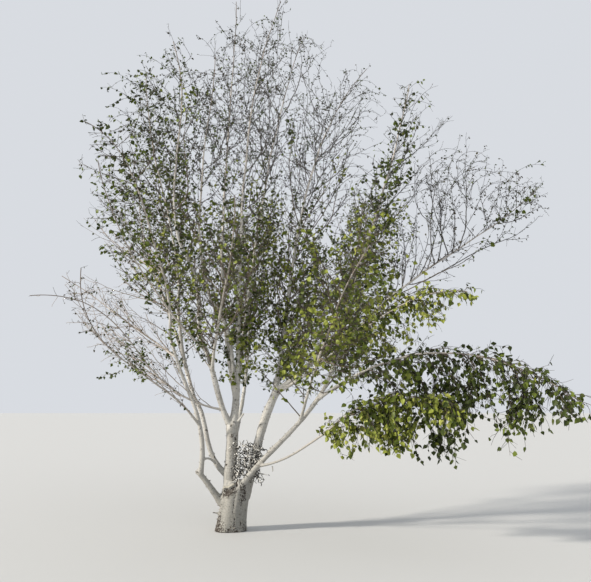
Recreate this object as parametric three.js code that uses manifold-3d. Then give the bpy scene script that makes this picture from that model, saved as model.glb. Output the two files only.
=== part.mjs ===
// A birch of several fused stems, drawn in millimetres from sizes in metres.
// +Z is up, +X is to the right and +Y is away from the front of the tree. The origin
// is the middle of the flat cut under the trunk, at ground level.
import * as THREE from "three";
import { mergeVertices } from "three/addons/utils/BufferGeometryUtils.js";
import Module from "manifold-3d";

const MM = 1000; // millimetres in a metre
const GAP = 0.0006; // clearance left between neighbours, in metres

// Trunk: a fused clump, flared at the ground and grooved between its stems.
const TRUNK_HEIGHT = 0.66; // top of the crotch where the stems part
const TRUNK_GIRTH = 0.188; // radius of the waist
const TRUNK_FLARE = 0.026; // what the root flare adds at ground level
const FLARE_HEIGHT = 0.1; // height over which the flare dies away
const TRUNK_LEAN = 0.085; // the clump leans this far to the right over its height
const GROOVE_DEPTH = 0.024; // depth of the grooves near the crotch
const GROOVES = [-132, -88, -60, 20, 96, 165]; // bearings of the grooves, in degrees
const TRUNK_SIDES = 24;
const TRUNK_RINGS = 6;

const LIMB_SIDES = 6; // sides of a limb's tube
const RING_STEP = 0.36; // length of tube between two rings, in metres
const TAPER = 1.5; // above 1, a limb thins sooner than it would evenly
const COLLAR = 0.3; // a limb is this much thicker where it leaves its parent
const COLLAR_LENGTH = 0.09;

const MASS_SIDES = 7; // sides of a mass of foliage or twigs
const MASS_RING_STEP = 0.42; // length of mass between two rings, in metres
const MASS_RINGS_LEAST = 5;
const MASS_RINGS_MOST = 7;
const MASS_UNEVEN = 0.22; // how far the surface of a mass wanders, as a share of its width

// Each limb starts on its parent at a share of the parent's length (or at a foot inside the
// trunk), and is made of parts. A part ends after a horizontal run towards a bearing and a
// rise. leave and arrive are [bearing, climb, pull] of its two ends: degrees, degrees, metres.
const LIMBS = [
  { name: "stem_central", parent: "trunk", foot: [-0.008, 0.0, 0.423], base: 0.085, tip: 0.081, parts: [
    { run: 0.003, bearing: 180.0, rise: 0.948, leave: [180, 80, 0.32], arrive: [180, 84, 0.32] },
  ] },
  { name: "left_foot", parent: "trunk", foot: [-0.125, -0.02, 0.349], base: 0.05, tip: 0.037, parts: [
    { run: 0.304, bearing: -164.7, rise: 0.383, leave: [-165, 50, 0.16], arrive: [-166, 47, 0.16] },
  ] },
  { name: "stem_left_outer", parent: "left_foot", at: 0.984, base: 0.036, tip: 0.006, parts: [
    { run: 0.149, bearing: -159.9, rise: 1.008, leave: [-19, 81, 0.37], arrive: [-173, 68, 0.38] },
    { run: 0.313, bearing: -167.1, rise: 0.85, leave: [-170, 65, 0.3], arrive: [-162, 75, 0.3] },
    { run: 0.288, bearing: -127.1, rise: 1.069, leave: [-77, 78, 0.42], arrive: [-149, 66, 0.42] },
    { run: 1.058, bearing: -151.8, rise: 1.716, leave: [-140, 68, 0.67], arrive: [-166, 23, 0.75] },
  ] },
  { name: "stem_left_inner", parent: "stem_central", at: 0.266, base: 0.038, tip: 0.006, parts: [
    { run: 0.55, bearing: 165.3, rise: 1.061, leave: [174, 34, 0.51], arrive: [170, 52, 0.42] },
    { run: 0.337, bearing: 147.6, rise: 1.603, leave: [160, 70, 0.6], arrive: [68, 84, 0.61] },
    { run: 1.172, bearing: 134.9, rise: 3.893, leave: [122, 74, 1.36], arrive: [98, 79, 1.37] },
  ] },
  { name: "stem_midleft", parent: "stem_central", at: 0.933, base: 0.044, tip: 0.006, parts: [
    { run: 0.491, bearing: -156.0, rise: 1.277, leave: [-165, 58, 0.47], arrive: [-163, 61, 0.46] },
    { run: 0.43, bearing: -125.5, rise: 1.225, leave: [-74, 74, 0.47], arrive: [-148, 59, 0.47] },
    { run: 0.323, bearing: -111.6, rise: 2.77, leave: [-158, 74, 0.96], arrive: [-162, 71, 0.97] },
  ] },
  { name: "midleft_side", parent: "stem_midleft", at: 0.204, base: 0.018, tip: 0.005, parts: [
    { run: 1.8, bearing: -132.0, rise: 2.245, leave: [-147, 39, 0.86], arrive: [-92, 60, 0.88] },
  ] },
  { name: "stem_middle", parent: "stem_central", at: 0.95, base: 0.058, tip: 0.05, parts: [
    { run: 0.094, bearing: 58.4, rise: 0.551, leave: [33, 76, 0.2], arrive: [66, 81, 0.19] },
  ] },
  { name: "middle_front", parent: "stem_middle", at: 0.899, base: 0.031, tip: 0.005, parts: [
    { run: 0.399, bearing: -151.2, rise: 1.237, leave: [-142, 76, 0.46], arrive: [-168, 48, 0.49] },
    { run: 0.43, bearing: -87.1, rise: 3.456, leave: [-159, 70, 1.2], arrive: [-65, 82, 1.16] },
  ] },
  { name: "middle_left", parent: "stem_middle", at: 0.653, base: 0.031, tip: 0.005, parts: [
    { run: 0.322, bearing: 112.1, rise: 6.322, leave: [166, 77, 2.13], arrive: [93, 88, 2.1] },
  ] },
  { name: "middle_right", parent: "stem_middle", at: 0.849, base: 0.036, tip: 0.005, parts: [
    { run: 0.595, bearing: -6.5, rise: 5.978, leave: [-17, 88, 1.99], arrive: [-2, 70, 2.02] },
  ] },
  { name: "middle_back", parent: "stem_middle", at: 0.849, base: 0.032, tip: 0.005, parts: [
    { run: 1.56, bearing: 52.3, rise: 6.165, leave: [74, 73, 2.13], arrive: [28, 71, 2.14] },
  ] },
  { name: "stem_right", parent: "trunk", foot: [0.167, 0.0, 0.423], base: 0.071, tip: 0.058, parts: [
    { run: 0.456, bearing: 15.3, rise: 1.425, leave: [15, 71, 0.5], arrive: [9, 60, 0.51] },
  ] },
  { name: "right_rear", parent: "stem_right", at: 0.949, base: 0.04, tip: 0.005, parts: [
    { run: 2.151, bearing: 43.7, rise: 5.759, leave: [64, 71, 2.05], arrive: [18, 51, 2.1] },
  ] },
  { name: "right_front", parent: "stem_right", at: 0.983, base: 0.042, tip: 0.006, parts: [
    { run: 0.969, bearing: -4.0, rise: 0.957, leave: [-4, 35, 0.44], arrive: [-5, 56, 0.43] },
    { run: 1.027, bearing: -23.0, rise: 3.435, leave: [-28, 76, 1.18], arrive: [-36, 79, 1.2] },
  ] },
  { name: "right_low", parent: "stem_right", at: 0.966, base: 0.026, tip: 0.006, parts: [
    { run: 2.685, bearing: -24.5, rise: 1.241, leave: [-23, 23, 0.91], arrive: [-23, -11, 0.99] },
  ] },
  { name: "long_sweep", parent: "trunk", foot: [0.07, -0.12, 0.477], base: 0.042, tip: 0.005, parts: [
    { run: 1.325, bearing: -18.9, rise: 1.572, leave: [-22, 56, 0.68], arrive: [-31, 66, 0.7] },
    { run: 3.472, bearing: 18.5, rise: 2.927, leave: [36, 62, 1.41], arrive: [17, 46, 1.39] },
  ] },
  { name: "low_right", parent: "long_sweep", at: 0.072, base: 0.02, tip: 0.006, parts: [
    { run: 2.84, bearing: -36.2, rise: 0.702, leave: [-32, 7, 1.12], arrive: [-37, -26, 1.5] },
  ] },
  { name: "far_right", parent: "long_sweep", at: 0.249, base: 0.024, tip: 0.005, parts: [
    { run: 3.321, bearing: -37.8, rise: -0.062, leave: [-41, 30, 1.41], arrive: [-50, -35, 1.44] },
  ] },
  { name: "low_left_front", parent: "stem_left_outer", at: 0.125, base: 0.016, tip: 0.005, parts: [
    { run: 1.975, bearing: -127.6, rise: 1.838, leave: [-131, 48, 1.09], arrive: [-68, 57, 1.22] },
  ] },
  { name: "low_left_mid", parent: "stem_midleft", at: 0.055, base: 0.015, tip: 0.005, parts: [
    { run: 2.549, bearing: -160.4, rise: 1.431, leave: [-165, 8, 1.34], arrive: [-165, -9, 1.36] },
  ] },
  { name: "low_left_rear", parent: "stem_left_outer", at: 0.315, base: 0.014, tip: 0.005, parts: [
    { run: 2.311, bearing: 151.7, rise: 1.354, leave: [149, 30, 0.91], arrive: [155, 29, 0.9] },
  ] },
  { name: "rear_right", parent: "stem_right", at: 0.633, base: 0.036, tip: 0.006, parts: [
    { run: 3.51, bearing: 53.6, rise: 4.293, leave: [85, 37, 1.83], arrive: [64, 65, 1.78] },
  ] },
  { name: "rear_left", parent: "stem_left_inner", at: 0.241, base: 0.026, tip: 0.006, parts: [
    { run: 2.774, bearing: 119.7, rise: 3.665, leave: [109, 36, 1.54], arrive: [96, 65, 1.54] },
  ] },
  { name: "rear_middle", parent: "stem_central", at: 0.716, base: 0.038, tip: 0.006, parts: [
    { run: 3.111, bearing: 94.2, rise: 4.393, leave: [85, 27, 1.82], arrive: [118, 62, 1.74] },
  ] },
  { name: "front_middle", parent: "stem_midleft", at: 0.154, base: 0.024, tip: 0.006, parts: [
    { run: 2.329, bearing: -78.0, rise: 1.754, leave: [-83, 30, 0.97], arrive: [-86, 36, 0.98] },
  ] },
  { name: "front_right", parent: "long_sweep", at: 0.197, base: 0.024, tip: 0.006, parts: [
    { run: 2.313, bearing: -72.9, rise: 1.814, leave: [-81, 32, 0.98], arrive: [-66, 32, 0.98] },
  ] },
];

// Each mass grows along its limb from one share of the limb's length to another. wide is its
// radius; lift raises its upper side, drop lowers its underside and thin narrows its far end.
const MASSES = [
  { name: "leaves_left_tip", limb: "stem_left_outer", from: 0.634, to: 1.000, wide: 0.46, lift: 0.06, drop: 0.14, thin: 0.32 },
  { name: "leaves_left_lower", limb: "stem_left_outer", from: 0.472, to: 0.744, wide: 0.42, lift: 0, drop: 0.25, thin: 0 },
  { name: "leaves_inner_left", limb: "stem_left_inner", from: 0.348, to: 0.668, wide: 0.48, lift: 0, drop: 0.1, thin: 0 },
  { name: "leaves_inner_left_top", limb: "stem_left_inner", from: 0.580, to: 1.000, wide: 0.64, lift: 0, drop: 0, thin: 0.28 },
  { name: "leaves_midleft", limb: "stem_midleft", from: 0.339, to: 0.668, wide: 0.42, lift: 0, drop: 0.1, thin: 0 },
  { name: "twigs_midleft_top", limb: "stem_midleft", from: 0.566, to: 1.000, wide: 0.62, lift: 0, drop: 0, thin: 0.32 },
  { name: "leaves_side_left", limb: "midleft_side", from: 0.396, to: 1.000, wide: 0.4, lift: 0, drop: 0.15, thin: 0.3 },
  { name: "leaves_middle_front", limb: "middle_front", from: 0.226, to: 0.600, wide: 0.44, lift: 0, drop: 0.1, thin: 0 },
  { name: "twigs_middle_front_top", limb: "middle_front", from: 0.479, to: 1.000, wide: 0.6, lift: 0, drop: 0, thin: 0.3 },
  { name: "twigs_middle_left_top", limb: "middle_left", from: 0.350, to: 1.000, wide: 0.64, lift: 0, drop: 0, thin: 0.4 },
  { name: "leaves_middle_right", limb: "middle_right", from: 0.099, to: 0.417, wide: 0.44, lift: 0, drop: 0, thin: 0 },
  { name: "twigs_middle_right_top", limb: "middle_right", from: 0.333, to: 1.000, wide: 0.64, lift: 0, drop: 0, thin: 0.4 },
  { name: "leaves_middle_back", limb: "middle_back", from: 0.100, to: 0.533, wide: 0.52, lift: 0, drop: 0, thin: 0 },
  { name: "twigs_middle_back_top", limb: "middle_back", from: 0.417, to: 1.000, wide: 0.7, lift: 0, drop: 0, thin: 0.3 },
  { name: "leaves_right_rear", limb: "right_rear", from: 0.066, to: 0.486, wide: 0.56, lift: 0, drop: 0, thin: 0 },
  { name: "twigs_right_rear_top", limb: "right_rear", from: 0.369, to: 1.000, wide: 0.82, lift: 0, drop: 0, thin: 0.36 },
  { name: "leaves_right_front", limb: "right_front", from: 0.276, to: 0.588, wide: 0.58, lift: 0, drop: 0.1, thin: 0 },
  { name: "leaves_right_front_top", limb: "right_front", from: 0.456, to: 1.000, wide: 0.7, lift: 0, drop: 0, thin: 0.55 },
  { name: "leaves_right_low", limb: "right_low", from: 0.331, to: 1.000, wide: 0.3, lift: 0, drop: 0.42, thin: 0.5 },
  { name: "twigs_fan_inner", limb: "long_sweep", from: 0.556, to: 0.891, wide: 0.42, lift: 2.15, drop: 0, thin: 0.35 },
  { name: "twigs_fan_tip", limb: "long_sweep", from: 0.809, to: 1.000, wide: 0.44, lift: 0.35, drop: 0.12, thin: 0.45 },
  { name: "leaves_long_sweep", limb: "long_sweep", from: 0.311, to: 0.556, wide: 0.48, lift: 0, drop: 0.42, thin: 0 },
  { name: "leaves_low_right", limb: "low_right", from: 0.392, to: 1.000, wide: 0.38, lift: 0.16, drop: 0.24, thin: 0.3 },
  { name: "leaves_far_middle", limb: "far_right", from: 0.219, to: 0.684, wide: 0.34, lift: 0, drop: 0.74, thin: 0 },
  { name: "leaves_far_tip", limb: "far_right", from: 0.592, to: 1.000, wide: 0.32, lift: 0, drop: 0.68, thin: 0.7 },
  { name: "twigs_low_left_front", limb: "low_left_front", from: 0.494, to: 1.000, wide: 0.3, lift: 0.05, drop: 0.05, thin: 0.4 },
  { name: "twigs_low_left_middle", limb: "low_left_mid", from: 0.438, to: 1.000, wide: 0.28, lift: 0.08, drop: 0.05, thin: 0.5 },
  { name: "twigs_low_left_rear", limb: "low_left_rear", from: 0.402, to: 1.000, wide: 0.28, lift: 0.08, drop: 0.05, thin: 0.4 },
  { name: "leaves_rear_right", limb: "rear_right", from: 0.260, to: 1.000, wide: 0.86, lift: 0.15, drop: 0.2, thin: 0.2 },
  { name: "leaves_rear_left", limb: "rear_left", from: 0.298, to: 1.000, wide: 0.8, lift: 0.1, drop: 0.2, thin: 0.25 },
  { name: "leaves_rear_middle", limb: "rear_middle", from: 0.446, to: 1.000, wide: 0.88, lift: 0.1, drop: 0.2, thin: 0.25 },
  { name: "leaves_front_middle", limb: "front_middle", from: 0.149, to: 1.000, wide: 0.5, lift: 0, drop: 0.12, thin: 0.35 },
  { name: "leaves_front_right", limb: "front_right", from: 0.249, to: 1.000, wide: 0.56, lift: 0, drop: 0.28, thin: 0.35 },
];

const rad = (deg) => (deg * Math.PI) / 180;
const heading = ([bearing, climb, pull]) =>
  new THREE.Vector3(
    Math.cos(rad(bearing)) * Math.cos(rad(climb)),
    Math.sin(rad(bearing)) * Math.cos(rad(climb)),
    Math.sin(rad(climb)),
  ).multiplyScalar(pull);

// Repeatable value between -1 and 1 for whole numbers a and b.
function wander(a, b) {
  const s = Math.sin(a * 127.1 + b * 311.7) * 43758.5453;
  return 2 * (s - Math.floor(s)) - 1;
}

// The centre line of a limb, with its length measured along the way.
class Way {
  constructor(limb, start) {
    this.points = [start.clone()];
    let at = start.clone();
    for (const part of limb.parts) {
      const end = at
        .clone()
        .add(
          new THREE.Vector3(
            part.run * Math.cos(rad(part.bearing)),
            part.run * Math.sin(rad(part.bearing)),
            part.rise,
          ),
        );
      const curve = new THREE.CubicBezierCurve3(
        at,
        at.clone().add(heading(part.leave)),
        end.clone().sub(heading(part.arrive)),
        end,
      );
      for (let i = 1; i <= 60; i++) this.points.push(curve.getPoint(i / 60));
      at = end;
    }
    this.sums = [0];
    for (let i = 1; i < this.points.length; i++)
      this.sums.push(
        this.sums[i - 1] + this.points[i].distanceTo(this.points[i - 1]),
      );
    this.length = this.sums[this.sums.length - 1];
  }
  point(share) {
    const d = Math.min(Math.max(share, 0), 1) * this.length;
    let i = 1;
    while (i < this.sums.length - 1 && this.sums[i] < d) i++;
    const f = (d - this.sums[i - 1]) / (this.sums[i] - this.sums[i - 1]);
    return this.points[i - 1].clone().lerp(this.points[i], f);
  }
}

// A closed skin over rings of equal count, with a point at both ends or a flat start.
function skin(rings, first, last) {
  const n = rings[0].length;
  const xyz = [];
  for (const ring of rings) for (const p of ring) xyz.push(p.x, p.y, p.z);
  const a = rings.length * n;
  xyz.push(first.x, first.y, first.z, last.x, last.y, last.z);
  const index = [];
  for (let j = 0; j < n; j++) {
    const k = (j + 1) % n;
    index.push(a, k, j);
    for (let i = 0; i + 1 < rings.length; i++) {
      const p = i * n + j,
        q = i * n + k;
      index.push(p, q, q + n, p, q + n, p + n);
    }
    const e = (rings.length - 1) * n;
    index.push(a + 1, e + j, e + k);
  }
  const g = new THREE.BufferGeometry();
  g.setAttribute("position", new THREE.Float32BufferAttribute(xyz, 3));
  g.setIndex(index);
  return g;
}

// Two directions square to each run of a centre line, carried along without twisting.
function frames(points) {
  const out = [];
  let u = null;
  for (let i = 0; i < points.length; i++) {
    const t = points[Math.min(i + 1, points.length - 1)]
      .clone()
      .sub(points[Math.max(i - 1, 0)])
      .normalize();
    if (!u) u = new THREE.Vector3(1, 0, 0.01);
    u = u.clone().addScaledVector(t, -u.dot(t)).normalize();
    out.push([u, t.clone().cross(u), t]);
  }
  return out;
}

function ringAt(centre, [u, v], radius) {
  return (count) =>
    Array.from({ length: count }, (_, j) => {
      const f = (2 * Math.PI * j) / count;
      return centre
        .clone()
        .addScaledVector(u, Math.cos(f) * radius(f, j))
        .addScaledVector(v, Math.sin(f) * radius(f, j));
    });
}

function limbTube(limb, way, upTo, grow) {
  const length = upTo * way.length;
  const steps = Math.max(2, Math.round(length / RING_STEP));
  const shares = [];
  for (let i = 0; i <= steps; i++) shares.push((upTo * i) / steps);
  shares.splice(1, 0, (0.6 * COLLAR_LENGTH) / way.length, (1.5 * COLLAR_LENGTH) / way.length);
  shares.sort((a, b) => a - b);
  const centres = shares.map((s) => way.point(s));
  const axes = frames(centres);
  const rings = centres.map((c, i) => {
    const along = shares[i] * way.length;
    const r =
      (limb.tip + (limb.base - limb.tip) * Math.pow(1 - shares[i], TAPER)) *
        (1 + COLLAR * Math.exp(-along / COLLAR_LENGTH)) +
      grow;
    return ringAt(c, axes[i], () => r)(LIMB_SIDES);
  });
  const end = centres.length - 1;
  return skin(
    rings,
    centres[0].clone().addScaledVector(axes[0][2], -grow),
    centres[end].clone().addScaledVector(axes[end][2], limb.tip + grow),
  );
}

function massBody(mass, way, seed, grow) {
  const span = mass.to - mass.from;
  const count = Math.min(
    MASS_RINGS_MOST,
    Math.max(MASS_RINGS_LEAST, Math.round((span * way.length) / MASS_RING_STEP)),
  );
  const centres = [way.point(mass.from)];
  for (let i = 1; i <= count; i++)
    centres.push(way.point(mass.from + (span * (i - 0.5)) / count));
  centres.push(way.point(mass.to));
  const axes = frames(centres);
  const rings = [];
  for (let i = 1; i <= count; i++) {
    const s = (i - 0.5) / count;
    const full =
      Math.pow(1 - Math.pow(Math.abs(2 * s - 1), 2.4), 0.55) *
      (1 - mass.thin * Math.pow(s, 1.5));
    const ring = ringAt(centres[i], axes[i], (f, j) => {
      const knob =
        1 +
        MASS_UNEVEN * wander(seed * 17 + i, j + 3) +
        0.12 * wander(seed, i);
      return mass.wide * full * knob + grow;
    })(MASS_SIDES);
    for (const p of ring) {
      const up = (p.z - centres[i].z) / (mass.wide + grow);
      p.z += up * full * (up > 0 ? mass.lift : mass.drop);
    }
    rings.push(ring);
  }
  const last = count + 1;
  return skin(
    rings,
    centres[0].clone().addScaledVector(axes[0][2], -grow),
    centres[last].clone().addScaledVector(axes[last][2], grow),
  );
}

function trunkBody(grow) {
  const rings = [];
  for (let i = 0; i < TRUNK_RINGS; i++) {
    const s = i / (TRUNK_RINGS - 1);
    const z = TRUNK_HEIGHT * (i === 0 ? 0 : Math.pow(s, 1.15)) * 0.93;
    const round = i === TRUNK_RINGS - 1 ? 0.8 : 1;
    const centre = new THREE.Vector3(TRUNK_LEAN * (z / TRUNK_HEIGHT) - 0.006, 0, z);
    const groove = GROOVE_DEPTH * (0.25 + 0.75 * s);
    rings.push(
      ringAt(
        centre,
        [new THREE.Vector3(1, 0, 0), new THREE.Vector3(0, 1, 0)],
        (f) => {
          let r = TRUNK_GIRTH * round + TRUNK_FLARE * Math.exp(-z / FLARE_HEIGHT);
          for (const g of GROOVES) {
            const off = Math.atan2(Math.sin(f - rad(g)), Math.cos(f - rad(g)));
            r -= groove * Math.exp(-Math.pow(off / 0.2, 2));
          }
          return r + grow;
        },
      )(TRUNK_SIDES),
    );
  }
  return skin(
    rings,
    new THREE.Vector3(-0.006, 0, 0),
    new THREE.Vector3(TRUNK_LEAN, 0, TRUNK_HEIGHT + grow),
  );
}

const wasm = await Module();
wasm.setup();

function toSolid(geometry) {
  const g = new THREE.BufferGeometry();
  g.setAttribute("position", geometry.getAttribute("position").clone());
  g.setIndex(geometry.index.clone());
  g.scale(MM, MM, MM);
  const m = mergeVertices(g, 1e-4);
  return new wasm.Manifold(
    new wasm.Mesh({
      numProp: 3,
      vertProperties: m.attributes.position.array,
      triVerts: new Uint32Array(m.index.array),
    }),
  );
}

// The piece of a cut solid that matters: the one nearest a point, or the largest.
function pick(solid, near) {
  const bodies = solid.decompose();
  if (bodies.length < 2) return solid;
  const score = (b) => {
    if (!near) return -b.volume();
    const m = b.getMesh();
    let best = Infinity;
    for (let i = 0; i < m.vertProperties.length; i += m.numProp)
      best = Math.min(
        best,
        Math.hypot(
          m.vertProperties[i] - near.x * MM,
          m.vertProperties[i + 1] - near.y * MM,
          m.vertProperties[i + 2] - near.z * MM,
        ),
      );
    return best;
  };
  return bodies.sort((a, b) => score(a) - score(b))[0];
}

const apart = (a, b) => {
  const p = a.boundingBox(),
    q = b.boundingBox();
  return [0, 1, 2].some((k) => p.max[k] < q.min[k] || q.max[k] < p.min[k]);
};
const less = (a, b) => (apart(a, b) ? a : a.subtract(b));

// Centre lines.
const ways = {};
for (const limb of LIMBS) {
  const start = limb.foot
    ? new THREE.Vector3(...limb.foot)
    : ways[limb.parent].point(limb.at);
  ways[limb.name] = new Way(limb, start);
}

// Bodies before cutting, as drawn and grown by the clearance.
const firstMass = {};
for (const m of MASSES)
  firstMass[m.limb] = Math.min(firstMass[m.limb] ?? 1, m.from);
const bodies = { trunk: [toSolid(trunkBody(0)), toSolid(trunkBody(GAP))] };
for (const limb of LIMBS) {
  const upTo = Math.min(1, (firstMass[limb.name] ?? 1) + 0.12 / ways[limb.name].length);
  bodies[limb.name] = [0, GAP].map((g) =>
    toSolid(limbTube(limb, ways[limb.name], upTo, g)),
  );
}
MASSES.forEach((m, i) => {
  bodies[m.name] = [0, GAP].map((g) => toSolid(massBody(m, ways[m.limb], i + 1, g)));
});

// A limb is cut by the trunk, by the limbs before it and by its own mass.
const done = { trunk: bodies.trunk[0] };
const order = ["trunk"];
for (const limb of LIMBS) {
  let solid = bodies[limb.name][0];
  for (const other of order) solid = less(solid, bodies[other][1]);
  for (const m of MASSES)
    if (m.limb === limb.name) solid = less(solid, bodies[m.name][1]);
  const share = Math.min(0.5, 0.25 / ways[limb.name].length);
  done[limb.name] = pick(solid, ways[limb.name].point(share));
  order.push(limb.name);
}

// A mass is cut by the masses before it and by every limb that passes through it.
MASSES.forEach((m, i) => {
  let solid = bodies[m.name][0];
  for (let k = 0; k < i; k++) solid = less(solid, bodies[MASSES[k].name][1]);
  for (const limb of LIMBS)
    if (limb.name !== m.limb) solid = less(solid, bodies[limb.name][1]);
  done[m.name] = pick(solid, null);
});

const COLOURS = {
  trunk: 0xd8d3c6,
  limb: 0xcfc6b8,
  leaves: 0x4f6b34,
  twigs: 0x7a6a5c,
};

function meshOf(name, solid) {
  const m = solid.getMesh();
  const n = m.numProp;
  const xyz = new Float32Array(m.numVert * 3);
  for (let i = 0; i < m.numVert; i++)
    xyz.set(m.vertProperties.subarray(i * n, i * n + 3), i * 3);
  const g = new THREE.BufferGeometry();
  g.setAttribute("position", new THREE.BufferAttribute(xyz, 3));
  g.setIndex(new THREE.BufferAttribute(m.triVerts, 1));
  const flat = g.toNonIndexed();
  flat.computeVertexNormals();
  const kind =
    name === "trunk"
      ? "trunk"
      : name.startsWith("leaves_")
        ? "leaves"
        : name.startsWith("twigs_")
          ? "twigs"
          : "limb";
  const mesh = new THREE.Mesh(
    flat,
    new THREE.MeshStandardMaterial({
      color: COLOURS[kind],
      roughness: kind === "leaves" || kind === "twigs" ? 0.8 : 0.7,
      metalness: 0,
    }),
  );
  mesh.name = name;
  return mesh;
}

const tree = new THREE.Group();
tree.name = "birch_tree";
for (const [name, solid] of Object.entries(done)) tree.add(meshOf(name, solid));

export default tree;
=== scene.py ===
import math
import bpy
import numpy as np
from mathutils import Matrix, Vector, noise
from mathutils.bvhtree import BVHTree
from mathutils.kdtree import KDTree


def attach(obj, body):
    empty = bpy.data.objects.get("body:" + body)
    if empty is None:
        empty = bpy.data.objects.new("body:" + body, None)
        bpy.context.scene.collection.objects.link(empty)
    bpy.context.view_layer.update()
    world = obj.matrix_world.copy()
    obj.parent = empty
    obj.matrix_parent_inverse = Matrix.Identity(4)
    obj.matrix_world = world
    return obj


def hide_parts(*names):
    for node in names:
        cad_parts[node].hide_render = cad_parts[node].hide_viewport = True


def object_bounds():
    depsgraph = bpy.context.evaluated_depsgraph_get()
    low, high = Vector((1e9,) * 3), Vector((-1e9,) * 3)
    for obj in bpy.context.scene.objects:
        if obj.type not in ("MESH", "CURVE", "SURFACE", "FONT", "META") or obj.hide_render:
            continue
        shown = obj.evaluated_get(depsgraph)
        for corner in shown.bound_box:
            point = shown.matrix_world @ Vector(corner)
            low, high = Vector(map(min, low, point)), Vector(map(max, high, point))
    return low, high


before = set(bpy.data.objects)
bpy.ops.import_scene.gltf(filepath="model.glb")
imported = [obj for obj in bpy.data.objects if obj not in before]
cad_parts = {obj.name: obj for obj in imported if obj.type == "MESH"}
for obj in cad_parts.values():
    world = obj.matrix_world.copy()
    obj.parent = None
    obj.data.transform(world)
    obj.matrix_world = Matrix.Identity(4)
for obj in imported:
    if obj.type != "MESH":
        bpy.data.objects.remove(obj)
CAD_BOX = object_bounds()

# ------------------------------------------------------------------ sizes
# Trunk: a fused clump, flared at the ground and grooved between its stems.
TRUNK_HEIGHT = 0.66
TRUNK_GIRTH = 0.188
TRUNK_FLARE = 0.026
FLARE_HEIGHT = 0.1
TRUNK_LEAN = 0.085
GROOVE_DEPTH = 0.030
GROOVES = [-132, -88, -60, 20, 96, 165]
TAPER = 1.5
COLLAR = 0.3
COLLAR_LENGTH = 0.09

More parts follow.
